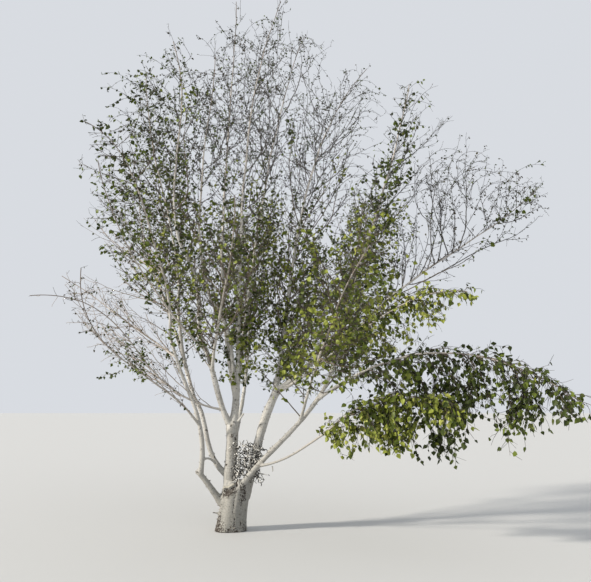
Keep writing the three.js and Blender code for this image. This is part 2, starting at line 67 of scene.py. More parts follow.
# name, parent, share of the parent's length (or foot inside the trunk), base and tip radius,
# parts of (run, bearing, rise, leave, arrive); leave and arrive are (bearing, climb, pull).
LIMBS = [
    ("stem_central", "trunk", (-0.008, 0.0, 0.423), 0.085, 0.081, [
        (0.003, 180.0, 0.948, (180, 80, 0.32), (180, 84, 0.32)),
    ]),
    ("left_foot", "trunk", (-0.125, -0.02, 0.349), 0.05, 0.037, [
        (0.304, -164.7, 0.383, (-165, 50, 0.16), (-166, 47, 0.16)),
    ]),
    ("stem_left_outer", "left_foot", 0.984, 0.036, 0.006, [
        (0.149, -159.9, 1.008, (-19, 81, 0.37), (-173, 68, 0.38)),
        (0.313, -167.1, 0.85, (-170, 65, 0.3), (-162, 75, 0.3)),
        (0.288, -127.1, 1.069, (-77, 78, 0.42), (-149, 66, 0.42)),
        (1.058, -151.8, 1.716, (-140, 68, 0.67), (-166, 23, 0.75)),
    ]),
    ("stem_left_inner", "stem_central", 0.266, 0.038, 0.006, [
        (0.55, 165.3, 1.061, (174, 34, 0.51), (170, 52, 0.42)),
        (0.337, 147.6, 1.603, (160, 70, 0.6), (68, 84, 0.61)),
        (1.172, 134.9, 3.893, (122, 74, 1.36), (98, 79, 1.37)),
    ]),
    ("stem_midleft", "stem_central", 0.933, 0.044, 0.006, [
        (0.491, -156.0, 1.277, (-165, 58, 0.47), (-163, 61, 0.46)),
        (0.43, -125.5, 1.225, (-74, 74, 0.47), (-148, 59, 0.47)),
        (0.323, -111.6, 2.77, (-158, 74, 0.96), (-162, 71, 0.97)),
    ]),
    ("midleft_side", "stem_midleft", 0.204, 0.018, 0.005, [
        (1.8, -132.0, 2.245, (-147, 39, 0.86), (-92, 60, 0.88)),
    ]),
    ("stem_middle", "stem_central", 0.95, 0.058, 0.05, [
        (0.094, 58.4, 0.551, (33, 76, 0.2), (66, 81, 0.19)),
    ]),
    ("middle_front", "stem_middle", 0.899, 0.031, 0.005, [
        (0.399, -151.2, 1.237, (-142, 76, 0.46), (-168, 48, 0.49)),
        (0.43, -87.1, 3.456, (-159, 70, 1.2), (-65, 82, 1.16)),
    ]),
    ("middle_left", "stem_middle", 0.653, 0.031, 0.005, [
        (0.322, 112.1, 6.322, (166, 77, 2.13), (93, 88, 2.1)),
    ]),
    ("middle_right", "stem_middle", 0.849, 0.036, 0.005, [
        (0.595, -6.5, 5.978, (-17, 88, 1.99), (-2, 70, 2.02)),
    ]),
    ("middle_back", "stem_middle", 0.849, 0.032, 0.005, [
        (1.56, 52.3, 6.165, (74, 73, 2.13), (28, 71, 2.14)),
    ]),
    ("stem_right", "trunk", (0.167, 0.0, 0.423), 0.071, 0.058, [
        (0.456, 15.3, 1.425, (15, 71, 0.5), (9, 60, 0.51)),
    ]),
    ("right_rear", "stem_right", 0.949, 0.04, 0.005, [
        (2.151, 43.7, 5.759, (64, 71, 2.05), (18, 51, 2.1)),
    ]),
    ("right_front", "stem_right", 0.983, 0.042, 0.006, [
        (0.969, -4.0, 0.957, (-4, 35, 0.44), (-5, 56, 0.43)),
        (1.027, -23.0, 3.435, (-28, 76, 1.18), (-36, 79, 1.2)),
    ]),
    ("right_low", "stem_right", 0.966, 0.026, 0.006, [
        (2.685, -24.5, 1.241, (-23, 23, 0.91), (-23, -11, 0.99)),
    ]),
    ("long_sweep", "trunk", (0.07, -0.12, 0.477), 0.042, 0.005, [
        (1.325, -18.9, 1.572, (-22, 56, 0.68), (-31, 66, 0.7)),
        (3.472, 18.5, 2.927, (36, 62, 1.41), (17, 46, 1.39)),
    ]),
    ("low_right", "long_sweep", 0.072, 0.02, 0.006, [
        (2.84, -36.2, 0.702, (-32, 7, 1.12), (-37, -26, 1.5)),
    ]),
    ("far_right", "long_sweep", 0.249, 0.024, 0.005, [
        (3.321, -37.8, -0.062, (-41, 30, 1.41), (-50, -35, 1.44)),
    ]),
    ("low_left_front", "stem_left_outer", 0.125, 0.016, 0.005, [
        (1.975, -127.6, 1.838, (-131, 48, 1.09), (-68, 57, 1.22)),
    ]),
    ("low_left_mid", "stem_midleft", 0.055, 0.015, 0.005, [
        (2.549, -160.4, 1.431, (-165, 8, 1.34), (-165, -9, 1.36)),
    ]),
    ("low_left_rear", "stem_left_outer", 0.315, 0.014, 0.005, [
        (2.311, 151.7, 1.354, (149, 30, 0.91), (155, 29, 0.9)),
    ]),
    ("rear_right", "stem_right", 0.633, 0.036, 0.006, [
        (3.51, 53.6, 4.293, (85, 37, 1.83), (64, 65, 1.78)),
    ]),
    ("rear_left", "stem_left_inner", 0.241, 0.026, 0.006, [
        (2.774, 119.7, 3.665, (109, 36, 1.54), (96, 65, 1.54)),
    ]),
    ("rear_middle", "stem_central", 0.716, 0.038, 0.006, [
        (3.111, 94.2, 4.393, (85, 27, 1.82), (118, 62, 1.74)),
    ]),
    ("front_middle", "stem_midleft", 0.154, 0.024, 0.006, [
        (2.329, -78.0, 1.754, (-83, 30, 0.97), (-86, 36, 0.98)),
    ]),
    ("front_right", "long_sweep", 0.197, 0.024, 0.006, [
        (2.313, -72.9, 1.814, (-81, 32, 0.98), (-66, 32, 0.98)),
    ]),
]

# Masses: limb, share of the limb where it starts and ends, buds to the cubic metre (strands in all where
# it hangs), habit, leaves, small leaves, length of a leaf in metres, how open it is, palette of leaf colours (dark, green, light, yellow).
WHIP, DROOP, SPREAD, FAN, THIN = "whip", "droop", "spread", "fan", "thin"
# these palettes paint light and shade: DUSK and SHADE give mostly dark leaves as painted shade, SUNNY and the palette
# above it give more light and yellow leaves as painted sunlight, MILD and MIXED lie between
DUSK = (0.54, 0.39, 0.07, 0.00)
MILD = (0.40, 0.31, 0.23, 0.06)
MIXED = (0.32, 0.33, 0.27, 0.08)
MORE_SUNLIT = (0.22, 0.32, 0.32, 0.14)
SUNNY = (0.15, 0.26, 0.36, 0.23)
SHADE = (0.62, 0.29, 0.08, 0.01)
MASSES = {
    "leaves_left_tip": ("stem_left_outer", 0.634, 1, 200, SPREAD, 230, 100, 0.056, 0.6, DUSK),
    "leaves_left_lower": ("stem_left_outer", 0.472, 0.744, 210, SPREAD, 300, 160, 0.058, 0.5, MILD),
    "leaves_inner_left": ("stem_left_inner", 0.348, 0.668, 260, WHIP, 780, 200, 0.054, 0.5, MILD),
    "leaves_inner_left_top": ("stem_left_inner", 0.58, 1, 145, WHIP, 640, 450, 0.060, 0.5, DUSK),
    "leaves_midleft": ("stem_midleft", 0.339, 0.668, 300, WHIP, 600, 220, 0.054, 0.5, MILD),
    "twigs_midleft_top": ("stem_midleft", 0.566, 1, 122, WHIP, 220, 700, 0.046, 0.3, DUSK),
    "leaves_side_left": ("midleft_side", 0.396, 1, 120, SPREAD, 130, 120, 0.056, 0.5, DUSK),
    "leaves_middle_front": ("middle_front", 0.226, 0.6, 280, WHIP, 360, 250, 0.056, 0.6, MILD),
    "twigs_middle_front_top": ("middle_front", 0.479, 1, 115, WHIP, 60, 600, 0.042, 0.3, DUSK),
    "twigs_middle_left_top": ("middle_left", 0.35, 1, 104, WHIP, 80, 850, 0.040, 0.3, DUSK),
    "leaves_middle_right": ("middle_right", 0.099, 0.417, 380, WHIP, 880, 300, 0.056, 0.5, MIXED),
    "twigs_middle_right_top": ("middle_right", 0.333, 1, 150, WHIP, 40, 800, 0.040, 0.3, DUSK),
    "leaves_middle_back": ("middle_back", 0.1, 0.533, 380, WHIP, 1500, 500, 0.052, 0.5, MIXED),
    "twigs_middle_back_top": ("middle_back", 0.417, 1, 118, WHIP, 40, 1100, 0.040, 0.3, DUSK),
    "leaves_right_rear": ("right_rear", 0.066, 0.486, 380, WHIP, 1700, 500, 0.054, 0.5, MIXED),
    "twigs_right_rear_top": ("right_rear", 0.369, 1, 150, WHIP, 110, 1300, 0.042, 0.3, DUSK),
    "leaves_right_front": ("right_front", 0.276, 0.588, 330, SPREAD, 1200, 300, 0.062, 0.5, MORE_SUNLIT),
    "leaves_right_front_top": ("right_front", 0.456, 1, 200, WHIP, 540, 170, 0.054, 0.5, DUSK),
    "leaves_right_low": ("right_low", 0.331, 1, 9, DROOP, 850, 80, 0.060, 0.5, SUNNY),
    "twigs_fan_inner": ("long_sweep", 0.556, 0.891, 140, FAN, 20, 950, 0.045, 0.3, DUSK),
    "twigs_fan_tip": ("long_sweep", 0.809, 1, 180, FAN, 0, 450, 0.045, 0.3, DUSK),
    "leaves_long_sweep": ("long_sweep", 0.311, 0.556, 420, SPREAD, 760, 150, 0.068, 0.5, MORE_SUNLIT),
    "leaves_low_right": ("low_right", 0.392, 1, 15, DROOP, 1550, 60, 0.064, 0.5, SUNNY),
    "leaves_far_middle": ("far_right", 0.219, 0.684, 18, DROOP, 1150, 60, 0.062, 0.6, SHADE),
    "leaves_far_tip": ("far_right", 0.592, 1, 13, DROOP, 720, 40, 0.062, 0.6, SHADE),
    "twigs_low_left_front": ("low_left_front", 0.494, 1, 190, THIN, 45, 130, 0.045, 0.2, DUSK),
    "twigs_low_left_middle": ("low_left_mid", 0.438, 1, 190, THIN, 25, 90, 0.045, 0.2, DUSK),
    "twigs_low_left_rear": ("low_left_rear", 0.402, 1, 190, THIN, 55, 90, 0.045, 0.2, DUSK),
    "leaves_rear_right": ("rear_right", 0.26, 1, 112, WHIP, 2600, 400, 0.050, 0.5, MILD),
    "leaves_rear_left": ("rear_left", 0.298, 1, 80, WHIP, 950, 250, 0.050, 0.5, MILD),
    "leaves_rear_middle": ("rear_middle", 0.446, 1, 108, WHIP, 2300, 400, 0.050, 0.5, MILD),
    "leaves_front_middle": ("front_middle", 0.149, 1, 200, WHIP, 520, 200, 0.056, 0.6, MIXED),
    "leaves_front_right": ("front_right", 0.249, 1, 240, SPREAD, 1000, 250, 0.060, 0.5, MORE_SUNLIT),
}

UP = np.array([0.0, 0.0, 1.0])
rng = np.random.default_rng(20261)


def unit(v):
    v = np.asarray(v, float)
    return v / np.maximum(np.linalg.norm(v, axis=-1, keepdims=True), 1e-9)


def heading(bearing, climb, pull=1.0):
    b, c = math.radians(bearing), math.radians(climb)
    return pull * np.array([math.cos(b) * math.cos(c), math.sin(b) * math.cos(c), math.sin(c)])


class Way:
    """The centre line of a limb, measured along its length."""

    def __init__(self, start, parts):
        pts = [np.array(start, float)]
        at = pts[0]
        t = (np.arange(1, 61) / 60.0)[:, None]
        for run, bearing, rise, leave, arrive in parts:
            b = math.radians(bearing)
            end = at + np.array([run * math.cos(b), run * math.sin(b), rise])
            p1, p2 = at + heading(*leave), end - heading(*arrive)
            c = (1 - t) ** 3 * at + 3 * (1 - t) ** 2 * t * p1 + 3 * (1 - t) * t * t * p2 + t**3 * end
            pts.extend(list(c))
            at = end
        self.p = np.array(pts)
        self.s = np.r_[0, np.cumsum(np.linalg.norm(np.diff(self.p, axis=0), axis=1))]
        self.length = self.s[-1]

    def at(self, share):
        d = np.clip(np.asarray(share, float), 0, 1) * self.length
        return np.stack([np.interp(d, self.s, self.p[:, k]) for k in range(3)], -1)

    def tangent(self, share):
        e = 0.02 / self.length
        return unit(self.at(np.asarray(share) + e) - self.at(np.asarray(share) - e))


ways, girth = {}, {}
for name, parent, at, base, tip, parts in LIMBS:
    start = at if parent == "trunk" else ways[parent].at(at)
    ways[name] = Way(start, parts)
    girth[name] = (base, tip)


def limb_radius(name, share, collar=True):
    base, tip = girth[name]
    share = np.asarray(share, float)
    r = tip + (base - tip) * (1 - np.clip(share, 0, 1)) ** TAPER
    if collar:
        r = r * (1 + COLLAR * np.exp(-share * ways[name].length / COLLAR_LENGTH))
    return r


# ------------------------------------------------------------------ mesh helpers
def new_mesh(name, verts, faces, smooth=False):
    """A mesh object from an (n,3) array and a list of face arrays of equal width."""
    me = bpy.data.meshes.new(name)
    verts = np.ascontiguousarray(verts, np.float32)
    me.vertices.add(len(verts))
    me.vertices.foreach_set("co", verts.ravel())
    loops = np.concatenate([f.ravel() for f in faces]).astype(np.int32)
    totals = np.concatenate([np.full(len(f), f.shape[1], np.int32) for f in faces])
    starts = np.r_[0, np.cumsum(totals)[:-1]].astype(np.int32)
    me.loops.add(len(loops))
    me.loops.foreach_set("vertex_index", loops)
    me.polygons.add(len(totals))
    me.polygons.foreach_set("loop_start", starts)
    me.polygons.foreach_set("use_smooth", np.full(len(totals), smooth))
    me.update(calc_edges=True)
    me.validate()
    ob = bpy.data.objects.new(name, me)
    bpy.context.scene.collection.objects.link(ob)
    return ob


def add_attribute(me, name, kind, values):
    a = me.attributes.new(name, kind, "POINT")
    a.data.foreach_set("vector" if kind == "FLOAT_VECTOR" else "value", np.ascontiguousarray(values, np.float32).ravel())


def frames_along(P):
    """Two directions square to each polyline (n,k,3), without twist worth seeing."""
    T = np.empty_like(P)
    T[:, 1:-1] = P[:, 2:] - P[:, :-2]
    T[:, 0] = P[:, 1] - P[:, 0]
    T[:, -1] = P[:, -1] - P[:, -2]
    T = unit(T)
    chord = unit(P[:, -1] - P[:, 0])
    ref = np.where(np.abs(chord[:, 1:2]) < 0.8, np.array([[0.0, 1.0, 0.0]]), np.array([[1.0, 0.0, 0.0]]))
    ref = np.broadcast_to(ref[:, None, :], P.shape)
    U = unit(np.cross(T, ref))
    V = np.cross(T, U)
    return T, U, V


def tubes(P, R, sides, keep=None, phase=0.0):
    """Vertices and quads of tubes along polylines P (n,k,3) with radii R (n,k)."""
    n, k, _ = P.shape
    _, U, V = frames_along(P)
    f = 2 * np.pi * np.arange(sides) / sides + phase
    c, s = np.cos(f), np.sin(f)
    ring = P[:, :, None, :] + R[:, :, None, None] * (c[None, None, :, None] * U[:, :, None, :] + s[None, None, :, None] * V[:, :, None, :])
    verts = ring.reshape(-1, 3)
    idx = np.arange(n * k * sides).reshape(n, k, sides)
    a = idx[:, :-1, :]
    b = idx[:, 1:, :]
    q = np.stack([a, np.roll(a, -1, 2), np.roll(b, -1, 2), b], -1)
    if keep is not None:
        q = q[np.broadcast_to(keep[:, :, None], q.shape[:3])]
    q = q.reshape(-1, 4)
    return verts, q


def drop_loose(verts, faces, extra):
    used = np.zeros(len(verts), bool)
    for f in faces:
        used[f.ravel()] = True
    remap = np.cumsum(used) - 1
    return verts[used], [remap[f] for f in faces], [e[used] for e in extra]


# ------------------------------------------------------------------ materials
def nodes_of(name):
    m = bpy.data.materials.new(name)
    m.use_nodes = True
    nt = m.node_tree
    nt.nodes.clear()
    out = nt.nodes.new("ShaderNodeOutputMaterial")
    bsdf = nt.nodes.new("ShaderNodeBsdfPrincipled")
    nt.links.new(bsdf.outputs[0], out.inputs[0])
    return m, nt, bsdf


def node(nt, kind, **values):
    n = nt.nodes.new(kind)
    for k, v in values.items():
        if k.startswith("i_"):
            key = k[2:]
            n.inputs[int(key) if key.isdigit() else key.replace("_", " ")].default_value = v
        else:
            setattr(n, k, v)
    return n


def scaled(nt, source, scale):
    m = node(nt, "ShaderNodeMapping")
    m.inputs["Scale"].default_value = scale
    nt.links.new(source, m.inputs["Vector"])
    return m.outputs[0]


def noise_of(nt, vector, scale=1.0, detail=2.0, rough=0.5):
    n = node(nt, "ShaderNodeTexNoise")
    n.inputs["Scale"].default_value = scale
    n.inputs["Detail"].default_value = detail
    n.inputs["Roughness"].default_value = rough
    nt.links.new(vector, n.inputs["Vector"])
    return n.outputs["Fac"]


def ramp(nt, value, lo, hi, a=0.0, b=1.0):
    r = node(nt, "ShaderNodeMapRange")
    r.inputs["From Min"].default_value = lo
    r.inputs["From Max"].default_value = hi
    r.inputs["To Min"].default_value = a
    r.inputs["To Max"].default_value = b
    r.clamp = True
    nt.links.new(value, r.inputs["Value"])
    return r.outputs["Result"]


def math_of(nt, op, a, b):
    m = node(nt, "ShaderNodeMath", operation=op)
    for i, v in enumerate((a, b)):
        if isinstance(v, (int, float)):
            m.inputs[i].default_value = v
        else:
            nt.links.new(v, m.inputs[i])
    return m.outputs[0]


def mix(nt, fac, a, b):
    m = node(nt, "ShaderNodeMix", data_type="RGBA")
    for s, v in ((m.inputs[0], fac), (m.inputs[6], a), (m.inputs[7], b)):
        if isinstance(v, tuple):
            s.default_value = (*v, 1.0)
        elif isinstance(v, (int, float)):
            s.default_value = v
        else:
            nt.links.new(v, s)
    return m.outputs[2]


def attribute(nt, name, out):
    a = node(nt, "ShaderNodeAttribute", attribute_name=name)
    return a.outputs[out]


def bark_material(name):
    m, nt, bsdf = nodes_of(name)
    co = attribute(nt, "bark_co", "Vector")
    scar_and_crease_shade = attribute(nt, "scar_and_crease_shade", "Fac")
    size = attribute(nt, "girth", "Fac")
    broad = noise_of(nt, scaled(nt, co, (5, 5, 2.2)), 1.0, 3.0)
    band = noise_of(nt, scaled(nt, co, (2.5, 2.5, 26)), 1.0, 3.0, 0.6)
    fine = noise_of(nt, scaled(nt, co, (60, 60, 60)), 1.0, 3.0, 0.6)
    dash = noise_of(nt, scaled(nt, co, (17, 17, 120)), 1.0, 2.0, 0.45)
    speck = noise_of(nt, scaled(nt, co, (50, 50, 44)), 1.0, 3.0, 0.62)
    white = mix(nt, ramp(nt, broad, 0.35, 0.65), (0.45, 0.43, 0.39), (0.66, 0.64, 0.60))
    white = mix(nt, ramp(nt, band, 0.52, 0.72, 0.0, 0.45), white, (0.42, 0.38, 0.335))
    beige = mix(nt, ramp(nt, band, 0.4, 0.62), (0.40, 0.355, 0.31), (0.54, 0.50, 0.455))
    brown = mix(nt, ramp(nt, fine, 0.35, 0.65), (0.10, 0.075, 0.06), (0.21, 0.16, 0.13))
    young = mix(nt, ramp(nt, size, 0.0048, 0.0085), brown, beige)
    colour = mix(nt, ramp(nt, size, 0.011, 0.020), young, white)
    dark = (0.044, 0.035, 0.029)
    # short level dashes in the pale bark, fewer on thin wood
    dashes = math_of(nt, "MULTIPLY", ramp(nt, dash, 0.655, 0.70), ramp(nt, size, 0.008, 0.03, 0.25, 0.85))
    colour = mix(nt, dashes, colour, (0.13, 0.10, 0.085))
    # small black flecks, gathered in drifts
    fleck = noise_of(nt, scaled(nt, co, (46, 46, 80)), 1.0, 2.0, 0.5)
    drift = noise_of(nt, scaled(nt, co, (6, 6, 6)), 1.0, 1.0)
    flecks = math_of(nt, "MULTIPLY", ramp(nt, math_of(nt, "ADD", fleck, math_of(nt, "MULTIPLY", drift, 0.22)), 0.735, 0.775), ramp(nt, size, 0.010, 0.025, 0.0, 0.9))
    colour = mix(nt, flecks, colour, (0.060, 0.050, 0.044))
    grime = math_of(nt, "MULTIPLY", ramp(nt, broad, 0.55, 0.75, 0.0, 0.30), ramp(nt, fine, 0.4, 0.6))
    colour = mix(nt, grime, colour, (0.36, 0.33, 0.27))
    # rough dark cork in scars, and the painted shade of the front crease: black with crumbs of pale bark left between
    edge = math_of(nt, "ADD", scar_and_crease_shade, math_of(nt, "MULTIPLY", math_of(nt, "SUBTRACT", speck, 0.5), 2.4))
    cork_and_crease_shade = ramp(nt, edge, 0.42, 0.58)
    nt.links.new(ramp(nt, cork_and_crease_shade, 0.0, 1.0, 0.62, 0.95), bsdf.inputs["Roughness"])
    bsdf.inputs["Specular IOR Level"].default_value = 0.35
    # painted shade: the foot of the tree is mixed towards a darker grey that fades out upward by height, for the shade
    # on the lower trunk below its sunlit stems, partly its own grey grime
    height = node(nt, "ShaderNodeSeparateXYZ")
    geo = node(nt, "ShaderNodeNewGeometry")
    nt.links.new(geo.outputs["Position"], height.inputs[0])
    foot_shade_and_grime = mix(nt, 0.84, colour, mix(nt, ramp(nt, fine, 0.3, 0.7), (0.100, 0.098, 0.086), (0.225, 0.218, 0.190)))
    colour = mix(nt, math_of(nt, "MULTIPLY", ramp(nt, height.outputs[2], 0.25, 2.0, 1.0, 0.0), ramp(nt, broad, 0.25, 0.6, 0.75, 1.0)), colour, foot_shade_and_grime)
    colour = mix(nt, cork_and_crease_shade, colour, mix(nt, ramp(nt, fine, 0.60, 0.74), dark, (0.13, 0.095, 0.062)))
    relief = math_of(nt, "ADD", math_of(nt, "MULTIPLY", fine, 0.35), math_of(nt, "MULTIPLY", band, 0.6))
    relief = math_of(nt, "SUBTRACT", relief, math_of(nt, "MULTIPLY", dashes, 0.4))
    relief = math_of(nt, "SUBTRACT", relief, math_of(nt, "MULTIPLY", math_of(nt, "MULTIPLY", cork_and_crease_shade, speck), 1.6))
    nt.links.new(colour, bsdf.inputs["Base Color"])
    bump = node(nt, "ShaderNodeBump")
    bump.inputs["Strength"].default_value = 0.7
    bump.inputs["Distance"].default_value = 0.006
    nt.links.new(relief, bump.inputs["Height"])
    nt.links.new(bump.outputs[0], bsdf.inputs["Normal"])
    return m


def twig_material(name, colour):
    m, nt, bsdf = nodes_of(name)
    geo = node(nt, "ShaderNodeNewGeometry")
    tone = noise_of(nt, geo.outputs["Position"], 3.0, 2.0)
    grain = noise_of(nt, geo.outputs["Position"], 90.0, 2.0)
    shade = mix(nt, ramp(nt, tone, 0.35, 0.65), tuple(0.78 * c for c in colour), tuple(1.08 * c for c in colour))
    shade = mix(nt, ramp(nt, grain, 0.55, 0.75, 0.0, 0.4), shade, tuple(0.55 * c for c in colour))
    nt.links.new(shade, bsdf.inputs["Base Color"])
    bsdf.inputs["Roughness"].default_value = 0.7
    bump = node(nt, "ShaderNodeBump")
    bump.inputs["Strength"].default_value = 0.4
    bump.inputs["Distance"].default_value = 0.002
    nt.links.new(grain, bump.inputs["Height"])
    nt.links.new(bump.outputs[0], bsdf.inputs["Normal"])
    return m


def leaf_material(name, colour, rough=0.5):
    m, nt, bsdf = nodes_of(name)
    bsdf.inputs["Base Color"].default_value = (*colour, 1.0)
    bsdf.inputs["Roughness"].default_value = rough
    bsdf.inputs["Specular IOR Level"].default_value = 0.2
    return m


# ------------------------------------------------------------------ crown envelope
def polygons_of(ob):
    me = ob.data
    v = np.zeros(len(me.vertices) * 3, np.float32)
    me.vertices.foreach_get("co", v)
    return v.reshape(-1, 3).astype(float), [tuple(p.vertices) for p in me.polygons]


mass_tree, mass_box = {}, {}
all_v, all_f, offset = [], [], 0
for m in MASSES:
    v, f = polygons_of(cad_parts[m])
    mass_tree[m] = BVHTree.FromPolygons(v.tolist(), f)
    mass_box[m] = (v.min(0), v.max(0))
    all_v.append(v)
    all_f += [tuple(i + offset for i in p) for p in f]
    offset += len(v)
crown = BVHTree.FromPolygons(np.vstack(all_v).tolist(), all_f)


def outside(points, tree=crown):
    """How far each point is outside the crown's masses; below zero inside."""
    d = np.empty(len(points))
    for i, p in enumerate(points):
        loc, nrm, _, dist = tree.find_nearest(Vector(p))
        d[i] = dist if (Vector(p) - loc).dot(nrm) > 0 else -dist
    return d


def points_inside(m, count):
    lo, hi = mass_box[m]
    got = []
    tries = 0
    while len(got) < count and tries < 60:
        p = lo + (hi - lo) * rng.random((count * 2, 3))
        d = outside(p, mass_tree[m])
        got.extend(list(p[d < -0.01]))
        tries += 1
    return np.array(got[:count])


def bezier(P0, P1, P2, P3, k):
    t = np.linspace(0, 1, k + 1)[None, :, None]
    P0, P1, P2, P3 = (x[:, None, :] for x in (P0, P1, P2, P3))
    return (1 - t) ** 3 * P0 + 3 * (1 - t) ** 2 * t * P1 + 3 * (1 - t) * t * t * P2 + t**3 * P3


# stems that carry leafy sprigs below the crown: from height, to height, one for each so many metres
SPRIGS = [
    ("stem_left_outer", 2.2, 3.1, 0.20),
    ("stem_left_inner", 2.2, 3.1, 0.20),
    ("stem_midleft", 1.9, 2.9, 0.22),
    ("middle_front", 2.1, 2.9, 0.14),
    ("middle_left", 1.9, 2.9, 0.18),
    ("middle_right", 1.8, 2.9, 0.05),
    ("middle_back", 1.8, 2.9, 0.05),
    ("right_rear", 1.85, 3.0, 0.035),
    ("right_front", 1.9, 2.9, 0.045),
    ("rear_right", 1.7, 2.8, 0.05),
    ("rear_middle", 1.8, 2.8, 0.08),
    ("rear_left", 2.0, 2.9, 0.16),
    ("low_left_front", 1.95, 2.30, 0.035),
]
# boughs on the right that carry hanging sprays along their own wood: limb, share from, share to, step, mass
FRINGES = [
    ("far_right", 0.10, 0.62, 0.070, "leaves_far_middle"),
    ("far_right", 0.60, 1.00, 0.060, "leaves_far_tip"),
    ("low_right", 0.30, 1.00, 0.050, "leaves_low_right"),
    ("right_low", 0.25, 1.00, 0.050, "leaves_right_low"),
]
# long side limbs: limb, height from, height to, how many, bearing, climb, length, mass they count with
LONG = [
    ("stem_left_outer", 2.80, 3.70, 8, 172, 36, 1.35, "twigs_low_left_rear"),
    ("stem_left_outer", 3.70, 4.90, 5, 178, 30, 0.80, "leaves_left_tip"),
    ("stem_left_outer", 1.60, 2.70, 4, 165, 42, 1.10, "twigs_low_left_rear"),
    ("stem_midleft", 1.90, 2.70, 3, 170, 40, 1.10, "twigs_low_left_middle"),
    ("low_left_mid", 1.05, 2.20, 8, 166, 46, 0.85, "twigs_low_left_middle"),
    ("low_left_mid", 2.00, 2.70, 6, 178, 22, 0.50, "twigs_low_left_middle"),
    ("low_left_front", 1.10, 2.70, 8, -155, 50, 0.80, "twigs_low_left_front"),
    ("low_left_rear", 1.60, 2.70, 8, 165, 50, 0.85, "twigs_low_left_rear"),
    # risers that close the crown between the rear limbs, and forward ones that close its front
    ("rear_middle", 2.10, 4.60, 20, 85, 60, 1.30, "leaves_rear_middle"),
    ("rear_right", 2.00, 4.60, 20, 60, 60, 1.30, "leaves_rear_right"),
    ("rear_left", 2.10, 4.40, 10, 105, 58, 1.25, "leaves_rear_left"),
    ("front_middle", 1.50, 3.20, 13, -100, 58, 1.15, "leaves_front_middle"),
    ("front_right", 1.40, 3.20, 12, -75, 58, 1.10, "leaves_front_right"),
    ("long_sweep", 1.60, 2.40, 5, 40, 50, 1.10, "leaves_long_sweep"),
    ("right_rear", 2.60, 3.60, 6, 20, 50, 1.00, "leaves_right_rear"),
    # whips between the leafy leader and the bare fan
    ("right_front", 3.50, 5.10, 5, 0, 56, 1.15, "twigs_fan_inner"),
    ("long_sweep", 2.90, 3.90, 8, 60, 76, 1.35, "twigs_fan_inner"),
]
# ------------------------------------------------------------------ buds
# Every mass is filled with buds at its own density. Each bud is then joined, cheapest first, to the wood
# that reaches it: a step costs its length, a share of the way already run from the limb, and more the
# further it turns from the twig it leaves or from the habit of the mass.
mass_names = list(MASSES)
KIND = {WHIP: 0, DROOP: 1, SPREAD: 2, FAN: 3, THIN: 4}
HAB = np.array([KIND[MASSES[m][4]] for m in mass_names])
DENSITY = np.array([MASSES[m][3] for m in mass_names], float)
LEAVES = np.array([MASSES[m][5] for m in mass_names])
SMALL = np.array([MASSES[m][6] for m in mass_names])
LEAF_LENGTH = np.array([MASSES[m][7] for m in mass_names])
OPEN = np.array([MASSES[m][8] for m in mass_names])
PAL = np.cumsum(np.array([MASSES[m][9] for m in mass_names]), axis=1)
#                whip  droop spread fan   thin
LIFT = np.array([0.80, -0.05, 0.25, 0.92, 0.10])  # climb that a habit likes, as the sine of its angle
PULL = np.array([2.6, 1.6, 0.8, 3.2, 0.5])  # how strongly it keeps to that
TURN = np.array([0.9, 0.7, 0.7, 1.0, 1.6])  # cost of a turn
RUN = np.array([0.16, 0.22, 0.22, 0.10, 0.06])  # cost of a long way from the limb


def clump(points, size, seed):
    """A slow value from 0 to 1 that gathers the crown into clumps."""
    p = points / size + seed
    return np.array([0.5 + 0.5 * noise.noise(tuple(q)) * 1.9 for q in p]).clip(0, 1)


def volume_of(v, f):
    t = np.array([(p[0], p[i], p[i + 1]) for p in f for i in range(1, len(p) - 1)])
    return abs(np.einsum("ij,ij->i", v[t[:, 0]], np.cross(v[t[:, 1]], v[t[:, 2]])).sum() / 6)


BELT = ("leaves_inner_left", "leaves_midleft", "leaves_middle_front", "leaves_middle_right", "leaves_right_front", "leaves_left_lower", "leaves_side_left")
bud_p, bud_m = [], []
for mi, m in enumerate(mass_names):
    vol = volume_of(*polygons_of(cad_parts[m]))
    if HAB[mi] == 1:
        continue
    n = max(12, int(vol * DENSITY[mi]))
    pool = points_inside(m, 5 * n)
    weight = 1 - OPEN[mi] * (1 - clump(pool, 0.42, 7.7)) ** 1.5
    if m in BELT:
        # the stems show through the front of the belt
        line = ways[MASSES[m][0]].at(np.linspace(MASSES[m][1], MASSES[m][2], 60))
        d = pool[:, None] - line[None]
        k = np.linalg.norm(d, axis=2).argmin(1)
        front = np.clip(-d[np.arange(len(pool)), k, 1] / 0.30, -1, 1)
        weight = weight * (0.72 - 0.40 * front)
    if m == "leaves_right_front_top":
        # a narrow leafy leader
        line = ways[MASSES[m][0]].at(np.linspace(MASSES[m][1], MASSES[m][2], 60))
        d = np.linalg.norm(pool[:, None] - line[None], axis=2)
        wide = 0.40 - 0.26 * d.argmin(1) / 59
        weight = weight * np.exp(-((d.min(1) / wide) ** 2))
    weight = weight * (0.55 + 0.6 * rng.random(len(pool)))
    near = np.full(len(pool), 10.0)
    for _ in range(min(n, len(pool))):
        k = int(np.argmax(near * weight))
        bud_p.append(pool[k])
        bud_m.append(mi)
        near = np.minimum(near, np.linalg.norm(pool - pool[k], axis=1))
bud_p, bud_m = np.array(bud_p), np.array(bud_m)
N = len(bud_p)

